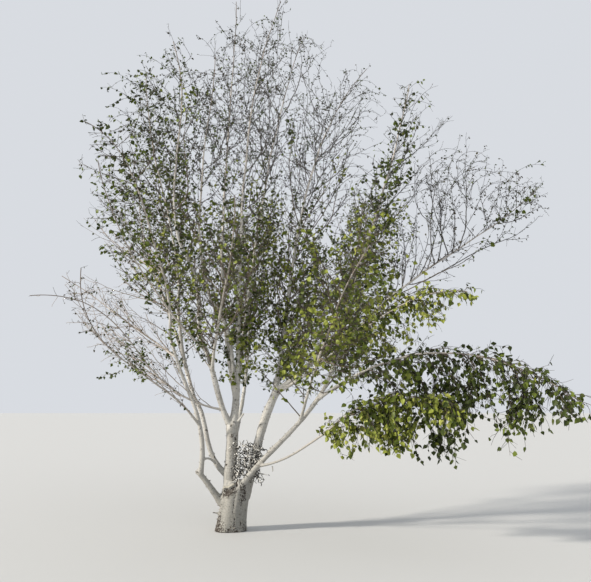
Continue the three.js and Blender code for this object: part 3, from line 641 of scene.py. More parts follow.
# limbs inside and just below the crown carry the first twigs
first_mass = {}
for m, row in MASSES.items():
    first_mass[row[0]] = min(first_mass.get(row[0], 1.0), row[1])
limb_names = list(ways)
seed_p, seed_t, seed_r, seed_l = [], [], [], []
for name in ways:
    if name in first_mass:
        w = ways[name]
        f = max(0.02, first_mass[name] - 0.40 / w.length)
        s = np.linspace(f, 1, int((1 - f) * w.length / 0.07) + 2)
        seed_p.append(w.at(s))
        seed_t.append(w.tangent(s))
        seed_r.append(limb_radius(name, s, False))
        seed_l.append(np.full(len(s), limb_names.index(name)))
seed_p, seed_t = np.vstack(seed_p), np.vstack(seed_t)
seed_r, seed_l = np.concatenate(seed_r), np.concatenate(seed_l)

hab = HAB[bud_m]
b_lift, b_pull, b_turn, b_run = LIFT[hab], PULL[hab], TURN[hab], RUN[hab]
b_droop = hab == 1
b_limb = np.array([limb_names.index(MASSES[m][0]) for m in mass_names])[bud_m]
cost = np.full(N, 1e9)
source = np.full(N, -1)  # below zero: limb seed -1-k; otherwise another bud
open_ = np.ones(N, bool)


def offer(p, t, way, ident, same, soft):
    d = bud_p - p
    L = np.sqrt((d * d).sum(1)) + 1e-6
    uz = d[:, 2] / L
    c = (d @ t) / L
    off = np.where(b_droop, uz - b_lift, b_lift - uz).clip(0)
    f = 1 + soft * b_turn * (1 - c) ** 2 + b_pull * off * off
    f = f * np.where(same, 1.0, 1.35)
    e = L * f * (1 + L / 0.55) + b_run * way
    better = open_ & (e < cost)
    cost[better] = e[better]
    source[better] = ident


for k in range(len(seed_p)):
    offer(seed_p[k], seed_t[k], 0.0, -1 - k, b_limb == seed_l[k], 0.30)
bud_t = np.zeros((N, 3))
bud_way = np.zeros(N)
joined = []
for _ in range(N):
    i = int(np.argmin(np.where(open_, cost, 1e9)))
    s = source[i]
    p, t, way = (seed_p[-1 - s], seed_t[-1 - s], 0.0) if s < 0 else (bud_p[s], bud_t[s], bud_way[s])
    d = bud_p[i] - p
    L = math.sqrt(float(d @ d)) + 1e-6
    bt = d / L + 0.45 * t
    bud_t[i] = bt / math.sqrt(float(bt @ bt))
    bud_way[i] = way + L
    open_[i] = False
    joined.append(i)
    offer(bud_p[i], bud_t[i], bud_way[i], i, bud_m == bud_m[i], 1.0)

# how much each bud carries decides its girth, and which twig is the leader at a fork
load = np.ones(N)
for i in reversed(joined):
    if source[i] >= 0:
        load[source[i]] += load[i]
lead = np.full(N, -1)
best_lead = np.full(N, -1.0)
for i in joined:
    s = source[i]
    if s >= 0:
        d = unit(bud_p[i] - bud_p[s])
        score = load[i] ** 0.5 * (0.6 + float(d @ bud_t[s]))
        if score > best_lead[s]:
            best_lead[s], lead[s] = score, i
girth_of = 0.0024 * load ** (1 / 2.6)

# ease the kinks out of the leaders
q = bud_p.copy()
src = source.copy()
has = lead >= 0
for _ in range(4):
    back = np.where((src >= 0)[:, None], q[np.maximum(src, 0)], seed_p[np.clip(-1 - src, 0, len(seed_p) - 1)])
    ahead = q[np.maximum(lead, 0)]
    goal = 0.5 * (back + ahead)
    q[has] += 0.42 * (goal - q)[has]
bud_q = q

chains, SUB = [], 3
is_lead = np.zeros(N, bool)
is_lead[lead[has]] = True
for i in joined:
    if is_lead[i]:
        continue
    s = source[i]
    if s < 0:
        start, t0_, cap = seed_p[-1 - s], seed_t[-1 - s], 0.80 * seed_r[-1 - s]
    else:
        start, t0_, cap = bud_q[s], bud_t[s], 0.92 * girth_of[s]
    pts, rad, k = [start], [min(cap, girth_of[i] * 1.12)], i
    while k >= 0:
        pts.append(bud_q[k])
        rad.append(min(girth_of[k], rad[-1]))
        last, k = k, lead[k]
    P, R = np.array(pts), np.array(rad)
    # a last short tip beyond the end bud
    end = unit(P[-1] - P[-2] + 0.02 * rng.normal(0, 1, 3))
    P = np.vstack([P, P[-1] + end * 0.05])
    R = np.r_[R, 0.0017]
    n = len(P)
    M = np.empty_like(P)
    M[1:-1] = 0.5 * (P[2:] - P[:-2])
    M[0] = unit(t0_ * 0.8 + unit(P[1] - P[0])) * np.linalg.norm(P[1] - P[0]) * 0.9
    M[-1] = P[-1] - P[-2]
    t = (np.arange(SUB) / SUB)[None, :, None]
    A, B, MA, MB = P[:-1, None], P[1:, None], M[:-1, None], M[1:, None]
    C = (2 * t**3 - 3 * t**2 + 1) * A + (t**3 - 2 * t**2 + t) * MA + (-2 * t**3 + 3 * t**2) * B + (t**3 - t**2) * MB
    C = np.vstack([C.reshape(-1, 3), P[-1:]])
    RC = np.interp(np.arange(len(C)) / SUB, np.arange(n), R)
    C[1:] += rng.normal(0, 0.0045, (len(C) - 1, 3)) * np.minimum(1, 0.004 / RC[1:])[:, None]
    chains.append((C, RC, int(bud_m[i])))
trunk_chains = len(chains)


# ------------------------------------------------------------------ twigs of one length, grown from places on the wood
def side_way(T, spin):
    """A direction square to T, turned by spin."""
    ref = np.where(np.abs(T[:, 2:3]) < 0.9, np.array([[0.0, 0.0, 1.0]]), np.array([[1.0, 0.0, 0.0]]))
    U = unit(np.cross(T, ref))
    V = np.cross(T, U)
    return np.cos(spin)[:, None] * U + np.sin(spin)[:, None] * V


def grow(P0, T, length, k, angle, up, wander, curl=0.0):
    """Children that leave P0 at an angle from T; up is the pull to the sky (or, below zero, to the ground)."""
    n = len(P0)
    spin = 2.399963 * np.arange(n) + rng.random(n) * 1.2
    D = unit(T * np.cos(angle)[:, None] + side_way(T, spin) * np.sin(angle)[:, None])
    step = (length / k)[:, None]
    P = np.empty((n, k + 1, 3))
    P[:, 0] = P0
    bend = side_way(D, rng.random(n) * 6.283) * curl
    for i in range(k):
        D = unit(D + UP * up[:, None] / k + bend / k + rng.normal(0, 1, (n, 3)) * wander / k)
        P[:, i + 1] = P[:, i] + D * step
    return P


def clip(P, margin):
    """True for each piece of the polylines that stays within the margin of the crown."""
    n, k, _ = P.shape
    d = outside(P.reshape(-1, 3)).reshape(n, k)
    bad = (d > np.asarray(margin).reshape(-1, 1)) | (P[:, :, 2] < 0.35)
    bad |= (P < np.array(CAD_BOX[0]) - 0.09).any(2) | (P > np.array(CAD_BOX[1]) + 0.09).any(2)
    first = np.where(bad.any(1), bad.argmax(1), k)
    return np.arange(k - 1)[None, :] < (first - 1)[:, None]


class Wood:
    """Every piece of the chains between two rings, laid out flat."""

    def __init__(self, rows):
        self.a = np.vstack([c[0][:-1] for c in rows])
        self.b = np.vstack([c[0][1:] for c in rows])
        self.r = np.concatenate([0.5 * (c[1][:-1] + c[1][1:]) for c in rows])
        self.m = np.concatenate([np.full(len(c[0]) - 1, c[2]) for c in rows])
        self.c = np.concatenate([np.full(len(c[0]) - 1, i) for i, c in enumerate(rows)])
        self.L = np.linalg.norm(self.b - self.a, axis=1)

    def places(self, step, mask):
        """Places about one step apart on the pieces that the mask lets through: piece, point, tangent."""
        L = np.where(mask, self.L / step, 0.0)
        cum = np.cumsum(L)
        n = int(cum[-1])
        at = (np.arange(n) + 0.15 + 0.7 * rng.random(n)).clip(0, cum[-1] - 1e-6)
        k = np.searchsorted(cum, at, side="right").clip(0, len(L) - 1)
        w = ((at - (cum[k] - L[k])) / np.maximum(L[k], 1e-9)).clip(0, 1)[:, None]
        return k, self.a[k] + (self.b[k] - self.a[k]) * w, unit(self.b[k] - self.a[k])


wood = Wood(chains)

# whips that arch out of the top and the edge of the crown and hang over at their ends
edge = -outside(wood.b)
free = (edge < 0.12) & (wood.r < 0.0045) & np.isin(HAB[wood.m], (0, 3)) & (wood.b[:, 2] > 4.6)
k, p, t = wood.places(0.22, free)
some = rng.random(len(k)) < np.where(HAB[wood.m[k]] == 3, 1.0, 0.62)
k, p, t = k[some], p[some], t[some]
n = len(k)
KW = 11
axis = np.array([0.9, 0.3, 0.0])
away = unit((p - axis) * np.array([1, 1, 0.0]))
lean = unit(t * 0.5 + away * 0.55 + UP * 0.55)
whip_P = grow(p, lean, 0.34 + 0.52 * rng.random(n) ** 1.5, KW, 0.10 + 0.25 * rng.random(n), -0.4 - 2.2 * rng.random(n), 0.7, 0.3)
whip_keep = clip(whip_P, np.full(n, 0.40))
whip_keep = np.cumprod(whip_keep, axis=1).astype(bool)
for i in np.flatnonzero(whip_keep.sum(1) > 3):
    c = int(whip_keep[i].sum()) + 1
    chains.append((whip_P[i, :c], np.linspace(0.0029, 0.0017, c), int(wood.m[k[i]])))

# strands that hang from the boughs on the right, each with side strands, and open air between them
KS = 12
for mi, m in enumerate(mass_names):
    if HAB[mi] != 1:
        continue
    limb, f0, f1, count = MASSES[m][:4]
    way = ways[limb]
    pool = points_inside(m, 500)
    starts = f0 - 0.10 / way.length + (f1 - f0) * 0.93 * (np.arange(count) + rng.random(count)) / count
    taken, rows = [], []
    for f in starts:
        P0, T0 = way.at(f), way.tangent(f)
        d = pool - P0
        L = np.linalg.norm(d, axis=1)
        ok = np.flatnonzero((L > 0.40) & (L < 1.80) & ((d @ T0) / L > 0.02))
        if len(ok) == 0:
            continue
        score = 0.35 * L[ok] - 2.6 * d[ok, 2] * (rng.random() < 0.72)
        if taken:
            score = score + 2.4 * np.minimum(np.linalg.norm(pool[ok][:, None] - np.array(taken)[None], axis=2).min(1), 0.5)
        P3 = pool[ok[np.argmax(score + 0.2 * rng.random(len(ok)))]]
        taken.append(P3)
        if limb == "far_right":
            P3 = P3 - UP * 0.24 * rng.random()
        D, L = unit(P3 - P0), float(np.linalg.norm(P3 - P0))
        leave = unit(T0 * 0.8 + D * 0.6 + UP * 0.12)
        arrive = unit(D * 0.7 - UP * 0.65)
        C = bezier(P0[None], (P0 + leave * L * 0.38)[None], (P3 - arrive * L * 0.36)[None], P3[None], KS)[0]
        C[1:] += rng.normal(0, 0.006, (KS, 3))
        r0 = min(0.75 * float(limb_radius(limb, f, False)), 0.0034 + 0.0030 * L)
        rows.append((C, np.linspace(r0, 0.0016, KS + 1), mi))
    S = np.stack([c[0] for c in rows])
    own = np.repeat(np.arange(len(S)), 5)
    at = np.tile([3, 5, 7, 9, 10], len(S)) + rng.integers(-1, 2, len(own))
    P0 = S[own, at]
    T0 = unit(S[own, at + 1] - S[own, at - 1])
    side = grow(P0, T0, (0.16 + 0.26 * rng.random(len(own))) * (1.15 - 0.05 * at), KS, 0.35 + 0.45 * rng.random(len(own)), -0.6 - 0.7 * rng.random(len(own)), 0.5, 0.4)
    keep = clip(side, np.full(len(own), 0.36 if limb == "far_right" else 0.08))
    for i in np.flatnonzero(keep.sum(1) > 3):
        c = int(keep[i].sum()) + 1
        rows.append((side[i, :c], np.linspace(0.0026, 0.0015, c), mi))
    chains.extend(rows)

# sprays along the boughs themselves
for limb, f0, f1, step, m in FRINGES:
    w = ways[limb]
    n = int((f1 - f0) * w.length / step)
    f = f0 + (f1 - f0) * (np.arange(n) + rng.random(n)) / n
    P0, T0 = w.at(f), w.tangent(f)
    P = grow(P0, T0, 0.16 + 0.34 * rng.random(n), 9, 0.5 + 0.6 * rng.random(n), -0.5 - 1.4 * rng.random(n), 0.8, 0.5)
    keep = clip(P, np.full(n, 0.16))
    for i in np.flatnonzero(keep.sum(1) > 3):
        c = int(keep[i].sum()) + 1
        chains.append((P[i, :c], np.linspace(0.0030, 0.0016, c), mass_names.index(m)))

# long side limbs that sweep out and up, bare but for their short shoots
long_rows, KL = [], 18
for limb, z0, z1, count, bearing, climb, length, m in LONG:
    w = ways[limb]
    inside = (w.p[:, 2] > z0) & (w.p[:, 2] < z1)
    s = w.s[inside] / w.length
    f = s[0] + (s[-1] - s[0]) * (np.arange(count) + rng.random(count)) / count
    for P0, T0, share in zip(w.at(f), w.tangent(f), f):
        a = math.radians(bearing + rng.normal(0, 62 if limb[:4] in ("rear", "fron") else 20))
        e = math.radians(climb + rng.normal(0, 8))
        L = length * (0.65 + 0.5 * rng.random())
        D = np.array([math.cos(a) * math.cos(e), math.sin(a) * math.cos(e), math.sin(e)])
        leave = unit(D * 0.9 + T0 * 0.3 - UP * 0.25)
        arrive = unit(D * 0.8 + UP * (0.9 * rng.random() - 0.1))
        P3 = P0 + D * L
        C = bezier(P0[None], (P0 + leave * L * 0.38)[None], (P3 - arrive * L * 0.36)[None], P3[None], KL)[0]
        C[1:] += np.cumsum(rng.normal(0, 0.0045, (KL, 3)), axis=0)
        ok = np.cumprod(((C > np.array(CAD_BOX[0]) - 0.05) & (C < np.array(CAD_BOX[1]) + 0.05)).all(1)).astype(bool)
        C = C[ok]
        if len(C) < 5:
            continue
        r0 = min(0.75 * float(limb_radius(limb, share, False)), 0.0030 + 0.0040 * L)
        rows = [C]
        for at in (6, 9, 11, 13, 15):
            if at < len(C) - 1:
                g = grow(C[at][None], unit(C[at + 1] - C[at - 1])[None], np.array([L * (0.16 + 0.22 * rng.random())]), 7, np.array([0.4 + 0.4 * rng.random()]), np.array([0.6 * rng.random()]), 0.6, 0.4)[0]
                g = g[np.cumprod(((g > np.array(CAD_BOX[0]) - 0.05) & (g < np.array(CAD_BOX[1]) + 0.05)).all(1)).astype(bool)]
                if len(g) > 2:
                    rows.append(g)
        for j, c in enumerate(rows):
            long_rows.append(len(chains))
            chains.append((c, np.linspace(r0 if j == 0 else 0.0030, 0.0016, len(c)), mass_names.index(m)))

# leafy sprigs on the stems below the masses
sprig = []
for name, lo_z, hi_z, step in SPRIGS:
    w = ways[name]
    inside = (w.p[:, 2] > lo_z) & (w.p[:, 2] < hi_z)
    s = w.s[inside] / w.length
    n = max(1, int((s[-1] - s[0]) * w.length / step + rng.random()))
    f = s[0] + (s[-1] - s[0]) * rng.random(n)
    P0, T0 = w.at(f), w.tangent(f)
    P = grow(P0, T0, 0.16 + 0.32 * rng.random(n), 8, 0.8 + 0.5 * rng.random(n), 0.2 + 0.5 * rng.random(n), 0.9, 0.5)
    near = [i for i, m in enumerate(mass_names) if MASSES[m][0] == name]
    owner = near[0] if near else mass_names.index("leaves_middle_front")
    for i in range(n):
        sprig.append(len(chains))
        chains.append((P[i], np.linspace(0.0028, 0.0014, 9), owner))

# short shoots all along the thin wood and the thin ends of the limbs
limb_rows = []
for name, w in ways.items():
    own_masses = [i for i, m in enumerate(mass_names) if MASSES[m][0] == name]
    if own_masses:
        s = np.linspace(max(0.0, 1 - 1.3 / w.length), 1.0, 26)
        limb_rows.append((w.at(s), np.full(26, 0.005), own_masses[-1]))
wood = Wood(chains + limb_rows)
STEP3 = np.array([0.165, 0.060, 0.090, 0.125, 0.30])
K3 = 2
sp, st, sm, sc = [], [], [], []
for h in range(5):
    k, p, t = wood.places(STEP3[h], (HAB[wood.m] == h) & (wood.r < 0.0065))
    sp.append(p)
    st.append(t)
    sm.append(wood.m[k])
    sc.append(wood.c[k])
p, t, m3, spray3 = np.vstack(sp), np.vstack(st), np.concatenate(sm), np.concatenate(sc)
n3 = len(p)
ups3 = np.array([0.7, -0.6, 0.2, 0.4, 0.2])[HAB[m3]]
len3 = (0.05 + 0.12 * rng.random(n3)) * np.array([1.0, 1.1, 1.0, 0.9, 0.9])[HAB[m3]]
fine_P = grow(p, t, len3, K3, 0.60 + 0.5 * rng.random(n3), ups3 * (0.2 + 0.9 * rng.random(n3)), 0.5, 0.45)
fine_R = 0.0024 * (1 - 0.35 * np.linspace(0, 1, K3 + 1)[None, :]) * (0.8 + 0.4 * rng.random(n3))[:, None]
fine_keep = clip(fine_P, np.where(spray3 >= trunk_chains, 0.44, 0.07))
within = ((fine_P > np.array(CAD_BOX[0]) - 0.09) & (fine_P < np.array(CAD_BOX[1]) + 0.09)).all(2)
fine_keep |= np.isin(spray3, sprig + long_rows)[:, None]
fine_keep &= np.cumprod(within, axis=1).astype(bool)[:, 1:]
alive = fine_keep[:, 0]
fine_P, fine_R, fine_keep, m3, spray3 = fine_P[alive], fine_R[alive], fine_keep[alive], m3[alive], spray3[alive]
print("buds", N, "chains", len(chains), "rings", len(wood.a), "metres", round(float(wood.L.sum())), "shoots", len(fine_P))

# ------------------------------------------------------------------ wood of the crown
body = "root"


def finish_piece(ob, material, nodes=()):
    ob.data.materials.append(material)
    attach(ob, body)
    if nodes:
        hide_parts(*nodes)
    return ob


def wood_piece(name, sets, material, nodes=()):
    """sets is a list of (P, R, sides, keep)."""
    V, F, G, off = [], [], [], 0
    for P, R, sides, keep in sets:
        v, q = tubes(P, R, sides, keep)
        V.append(v)
        F.append(q + off)
        G.append(np.repeat(R.reshape(-1), sides))
        off += len(v)
    V, F, G = np.vstack(V), np.vstack(F), np.concatenate(G)
    V, (F,), (G,) = drop_loose(V, [F], [G])
    ob = new_mesh(name, V, [F], smooth=True)
    add_attribute(ob.data, "girth", "FLOAT", G)
    print(name, 2 * len(F), "triangles")
    return finish_piece(ob, material, nodes)


def chain_piece(name, rows, material, nodes=()):
    """One mesh of tubes along chains of any length, thick ones with more sides."""
    V, F, G, off = [], [], [], 0
    for sides, some in ((6, [c for c in rows if c[1][0] > 0.006]), (4, [c for c in rows if c[1][0] <= 0.006])):
        if not some:
            continue
        P = np.vstack([c[0] for c in some])
        R = np.concatenate([c[1] for c in some])
        n = np.array([len(c[0]) for c in some])
        last = np.cumsum(n) - 1
        first = last - n + 1
        T = np.zeros_like(P)
        T[1:-1] = P[2:] - P[:-2]
        T[first] = P[first + 1] - P[first]
        T[last] = P[last] - P[last - 1]
        T = unit(T)
        chord = unit(P[last] - P[first])
        ref = np.where(np.abs(chord[:, 1:2]) < 0.8, np.array([[0.0, 1.0, 0.0]]), np.array([[1.0, 0.0, 0.0]]))
        ref = np.repeat(ref, n, axis=0)
        U = unit(np.cross(T, ref))
        W = np.cross(T, U)
        f = 2 * np.pi * np.arange(sides) / sides
        ring = P[:, None] + R[:, None, None] * (np.cos(f)[None, :, None] * U[:, None] + np.sin(f)[None, :, None] * W[:, None])
        idx = np.arange(len(P) * sides).reshape(len(P), sides)
        body_ = np.ones(len(P), bool)
        body_[last] = False
        a, b = idx[:-1][body_[:-1]], idx[1:][body_[:-1]]
        q = np.stack([a, np.roll(a, -1, 1), np.roll(b, -1, 1), b], -1).reshape(-1, 4)
        V.append(ring.reshape(-1, 3))
        F.append(q + off)
        G.append(np.repeat(R, sides))
        off += len(P) * sides
    ob = new_mesh(name, np.vstack(V), [np.vstack(F)], smooth=True)
    add_attribute(ob.data, "girth", "FLOAT", np.concatenate(G))
    print(name, 2 * sum(len(f) for f in F), "triangles")
    return finish_piece(ob, material, nodes)


# twigs darken as they thin, so each thickness is a piece of its own
THICK, MIDDLE = 0.0092, 0.0054
# painted shade: the wood of the dome is darker than the leafy wood for its shaded look against the sky, on top of the
# thin wood's own grey-brown
SHADED_DOME_WOOD = ((0.215, 0.198, 0.182), (0.108, 0.098, 0.090), (0.050, 0.043, 0.039))
LEAFY_WOOD = ((0.33, 0.285, 0.235), (0.165, 0.130, 0.100), (0.086, 0.064, 0.046))
PALE_WOOD = ((0.56, 0.49, 0.42), (0.50, 0.43, 0.36), (0.36, 0.30, 0.25))
FINE_WOOD = (0.060, 0.051, 0.045)


def kind_of(c):
    m = mass_names[c[2]]
    if m.startswith("twigs_low_left"):
        return "pale"
    if m.startswith("twigs_") or m == "leaves_inner_left_top" or m == "leaves_right_front_top":
        return "dome"
    return "leafy"


def by_girth(rows):
    """Cut chains where they get thinner than each class: boughs, branchlets, twigs."""
    sets = ([], [], [])
    for C, R, m in rows:
        k1 = int(np.argmax(R < THICK)) if (R < THICK).any() else len(R)
        k2 = int(np.argmax(R < MIDDLE)) if (R < MIDDLE).any() else len(R)
        for i, (lo, hi) in enumerate(((0, k1), (k1, k2), (k2, len(R)))):
            lo = max(0, lo - 1)
            if hi - lo > 1:
                sets[i].append((C[lo:hi], R[lo:hi], m))
    return sets


leafy = [c for c in chains if kind_of(c) == "leafy"]
for name, rows, colours in (
    ("dome", [c for c in chains if kind_of(c) == "dome"], SHADED_DOME_WOOD),
    ("leafy_front", [c for c in leafy if c[0][0, 1] < 0.9], LEAFY_WOOD),
    ("leafy_rear", [c for c in leafy if c[0][0, 1] >= 0.9], LEAFY_WOOD),
    ("pale", [c for c in chains if kind_of(c) == "pale"], PALE_WOOD),
):
    for part, some, colour in zip(("boughs", "branchlets", "twigs"), by_girth(rows), colours):
        if some:
            chain_piece(name + "_" + part, some, twig_material("wood_" + name + "_" + part, colour))
fine_wood = twig_material("wood_shoots", FINE_WOOD)
half = fine_P[:, 0, 0] < 0.9
wood_piece("shoots_left", [(fine_P[half], fine_R[half] * 1.1, 3, fine_keep[half])], fine_wood)
wood_piece("shoots_right", [(fine_P[~half], fine_R[~half] * 1.1, 3, fine_keep[~half])], fine_wood)

# ------------------------------------------------------------------ leaves
# A birch leaf: broad near its stalk, drawn out to a point, folded along the midrib.
LEAF = np.array([[0, 0, 0], [-0.44, 0.26, 0.05], [-0.36, 0.58, 0.04], [0, 1.0, -0.06], [0.36, 0.58, 0.04], [0.44, 0.26, 0.05], [0, 0.48, -0.05]])
LEAF_F = np.array([[0, 6, 1], [1, 6, 2], [2, 6, 3], [3, 6, 4], [4, 6, 5], [5, 6, 0]])
# The same with fewer faces, for the small leaves in the middle of the crown.
LITTLE = np.array([[0, 0, 0], [-0.44, 0.38, 0.06], [0, 1.0, -0.04], [0.44, 0.38, 0.06], [0, 0.42, -0.05]])
LITTLE_F = np.array([[0, 4, 1], [1, 4, 2], [2, 4, 3], [3, 4, 0]])
BUD = np.array([[0, 0, 0], [-0.36, 0.45, 0.07], [0, 1.0, 0.0], [0.36, 0.45, 0.07]])
BUD_F = np.array([[0, 2, 1], [0, 3, 2]])


def sites(step3, step1):
    """Places for leaves along shoots and along the thin wood: point, tangent, mass, spray."""
    n, k = len(fine_P), K3
    P, T, M, S = [], [], [], []
    for j, f in ((0, 0.45), (0, 0.9), (1, 0.4), (1, 0.75), (1, 1.0)):
        ok = fine_keep[:, j]
        a, b = fine_P[ok, j], fine_P[ok, j + 1]
        P.append(a + (b - a) * f)
        T.append(unit(b - a))
        M.append(m3[ok])
        S.append(spray3[ok])
    kk, p, t = wood.places(step1, wood.r < 0.0048)
    P.append(p)
    T.append(t)
    M.append(wood.m[kk])
    S.append(wood.c[kk])
    return np.vstack(P), np.vstack(T), np.concatenate(M), np.concatenate(S)


def deal(mass, wanted):
    """Pick places so that each mass gets the number it wants."""
    take = np.zeros(len(mass), bool)
    for i, n in enumerate(wanted):
        here = np.flatnonzero(mass == i)
        if len(here):
            take[rng.permutation(here)[: int(n)]] = True
            if len(here) < n:
                print("short of places:", mass_names[i], len(here), "of", n)
    return take


def blades(P, T, hang, length, width, template, faces):
    n = len(P)
    spin = 2.4 * np.arange(n) + rng.random(n) * 2.0
    D = unit(T * 0.45 + side_way(T, spin) * 0.8 - UP * hang[:, None] + rng.normal(0, 0.22, (n, 3)))
    face = unit(UP * 0.55 + rng.normal(0, 0.65, (n, 3)))
    N = unit(face - D * (face * D).sum(1)[:, None])
    X = np.cross(D, N)
    t = template
    V = (
        P[:, None, :]
        + X[:, None, :] * (t[None, :, 0, None] * width[:, None, None])
        + D[:, None, :] * (t[None, :, 1, None] * length[:, None, None])
        + N[:, None, :] * (t[None, :, 2, None] * length[:, None, None])
    )
    return V


# leaf colours: dark stands for leaves in shade and light and yellow for sunlit leaves, painted shade and painted
# sunlight beside the leaves' own spread of green
COLOURS = {
    "dark": (0.040, 0.056, 0.010),
    "green": (0.094, 0.124, 0.017),
    "light": (0.215, 0.245, 0.040),
    "yellow": (0.360, 0.375, 0.085),
}
leaf_mats = {k: leaf_material("leaf_" + k, c) for k, c in COLOURS.items()}
leafy_nodes = [m for m in mass_names if m.startswith("leaves_")]
twig_nodes = [m for m in mass_names if m.startswith("twigs_")]
spray_tone = rng.random(len(chains) + len(limb_rows))
spray_full = rng.random(len(chains) + len(limb_rows))

P_, T_, M_, S_ = sites(0.034, 0.036)
# leaves crowd on some sprays and leave others almost bare
thick = clump(P_, 0.30, 3.1)
lead = mass_names.index("leaves_right_front_top")
fewer = np.where(M_ == lead, np.clip(1.25 - (P_[:, 2] - 4.3) / 1.9, 0.16, 1.0), 1.0)
order = rng.random(len(P_)) < fewer * np.where(HAB[M_] == 1, 0.9, (0.30 + 0.70 * spray_full[S_]) * (0.12 + 0.88 * thick))
is_sprig = np.isin(S_, sprig)
order |= is_sprig & (rng.random(len(P_)) < 0.5)
P_, T_, M_, S_ = P_[order], T_[order], M_[order], S_[order]
take = deal(M_, LEAVES) | np.isin(S_, sprig)
P_, T_, M_, S_ = P_[take], T_[take], M_[take], S_[take]
hang = np.where(HAB[M_] == 1, 0.95, 0.45) * (0.6 + 0.8 * rng.random(len(P_)))
size = LEAF_LENGTH[M_] * (0.70 + 0.55 * rng.random(len(P_)))
width = size * (0.84 + 0.15 * rng.random(len(P_)))
tone = np.clip(spray_tone[S_] * 0.75 + 0.25 * rng.random(len(P_)), 0, 0.999)
group = (tone[:, None] > PAL[M_][:, :3]).sum(1)
large = LEAF_LENGTH[M_] > 0.0535
i = 0
for kind, template, faces, sel0 in (("leaves", LEAF, LEAF_F, large), ("little_leaves", LITTLE, LITTLE_F, ~large)):
    V = np.zeros((len(P_), len(template), 3))
    V[sel0] = blades(P_[sel0], T_[sel0], hang[sel0], size[sel0], width[sel0], template, faces)
    for g, colour in enumerate(COLOURS):
        sel = sel0 & (group == g)
        f = (faces[None] + (np.arange(sel.sum()) * len(template))[:, None, None]).reshape(-1, 3)
        ob = new_mesh(kind + "_" + colour, V[sel].reshape(-1, 3), [f])
        print(ob.name, sel.sum(), "leaves", len(f), "triangles")
        finish_piece(ob, leaf_mats[colour], leafy_nodes[i::8])
        i += 1

# young leaves, small as buds, on the bare whips
P_, T_, M_, S_ = sites(0.034, 0.045)
take = deal(M_, SMALL)
P_, T_, M_, S_ = P_[take], T_[take], M_[take], S_[take]
hang = 0.3 + 0.7 * rng.random(len(P_))
size = 0.026 + 0.018 * rng.random(len(P_))
V = blades(P_, T_, hang, size, size * 0.95, BUD, BUD_F)
tone = spray_tone[S_]
for g, (name, colour) in enumerate((("young_leaves_dusk", (0.060, 0.055, 0.036)), ("young_leaves_green", (0.070, 0.092, 0.034)))):
    sel = (tone < 0.62) if g == 0 else (tone >= 0.62)
    f = (BUD_F[None] + (np.arange(sel.sum()) * 4)[:, None, None]).reshape(-1, 3)
    ob = new_mesh(name, V[sel].reshape(-1, 3), [f])
    print(name, sel.sum(), "small leaves", len(f), "triangles")
    finish_piece(ob, leaf_material(name, colour, 0.6), twig_nodes[g::2])

# catkins: short hanging spikes at the ends of some fine twigs
ends = fine_P[np.arange(len(fine_P)), fine_keep.sum(1)]
pick = (rng.random(len(ends)) < 0.10) & (SMALL[m3] > 850)
c0 = ends[pick]
nC = len(c0)
drop = unit(-UP * 0.8 + rng.normal(0, 0.35, (nC, 3)))
lenC = 0.024 + 0.016 * rng.random(nC)
CP = c0[:, None, :] + drop[:, None, :] * (np.array([0, 0.15, 0.6, 1.0])[None, :, None] * lenC[:, None, None])
CR = np.broadcast_to(np.array([0.0015, 0.0042, 0.0042, 0.0010])[None, :], (nC, 4)).copy()
catkin = leaf_material("catkin_brown", (0.125, 0.085, 0.050), 0.8)
wood_piece("catkins", [(CP, CR, 3, None)], catkin)

# ------------------------------------------------------------------ bark: trunk and limbs in one skin
LOW = 2.35  # up to this height the stems are fused into one skin
VOXEL = 0.0105


def trunk_rings(sides, count):
    z = TRUNK_HEIGHT * np.linspace(0, 0.97, count)
    f = 2 * np.pi * np.arange(sides) / sides
    rings = []
    for zz in z:
        s = zz / TRUNK_HEIGHT
        cx = TRUNK_LEAN * s - 0.006
        dome = math.sqrt(max(0.0, 1 - max(0.0, (s - 0.80) / 0.22) ** 2))
        r = TRUNK_GIRTH * (0.70 + 0.30 * dome) + TRUNK_FLARE * math.exp(-zz / FLARE_HEIGHT)
        rr = np.full(sides, r)
        for g in GROOVES:
            off = np.arctan2(np.sin(f - math.radians(g)), np.cos(f - math.radians(g)))
            shallow = 0.40 if g in (-88, -60) else 1.0
            rr -= shallow * GROOVE_DEPTH * (0.25 + 0.75 * s) * np.exp(-((off / 0.16) ** 2))
        # toes of the root flare swell between the grooves
        rr += 0.016 * math.exp(-zz / 0.06) * np.cos(3 * f + 0.8)
        rings.append(np.stack([cx + rr * np.cos(f), rr * np.sin(f), np.full(sides, zz)], 1))
    return np.array(rings)


def closed_tube(points, radii, sides=16):
    """Vertices and faces of one tube with closed ends."""
    P = np.array(points)[None]
    R = np.array(radii)[None]
    v, q = tubes(P, R, sides)
    k = P.shape[1]
    v = np.vstack([v, P[0, 0], P[0, -1]])
    a, b = k * sides, k * sides + 1
    j = np.arange(sides)
    t0_ = np.stack([np.full(sides, a), np.roll(j, -1), j], 1)
    t1_ = np.stack([np.full(sides, b), (k - 1) * sides + j, (k - 1) * sides + np.roll(j, -1)], 1)
    return v, q, np.vstack([t0_, t1_])


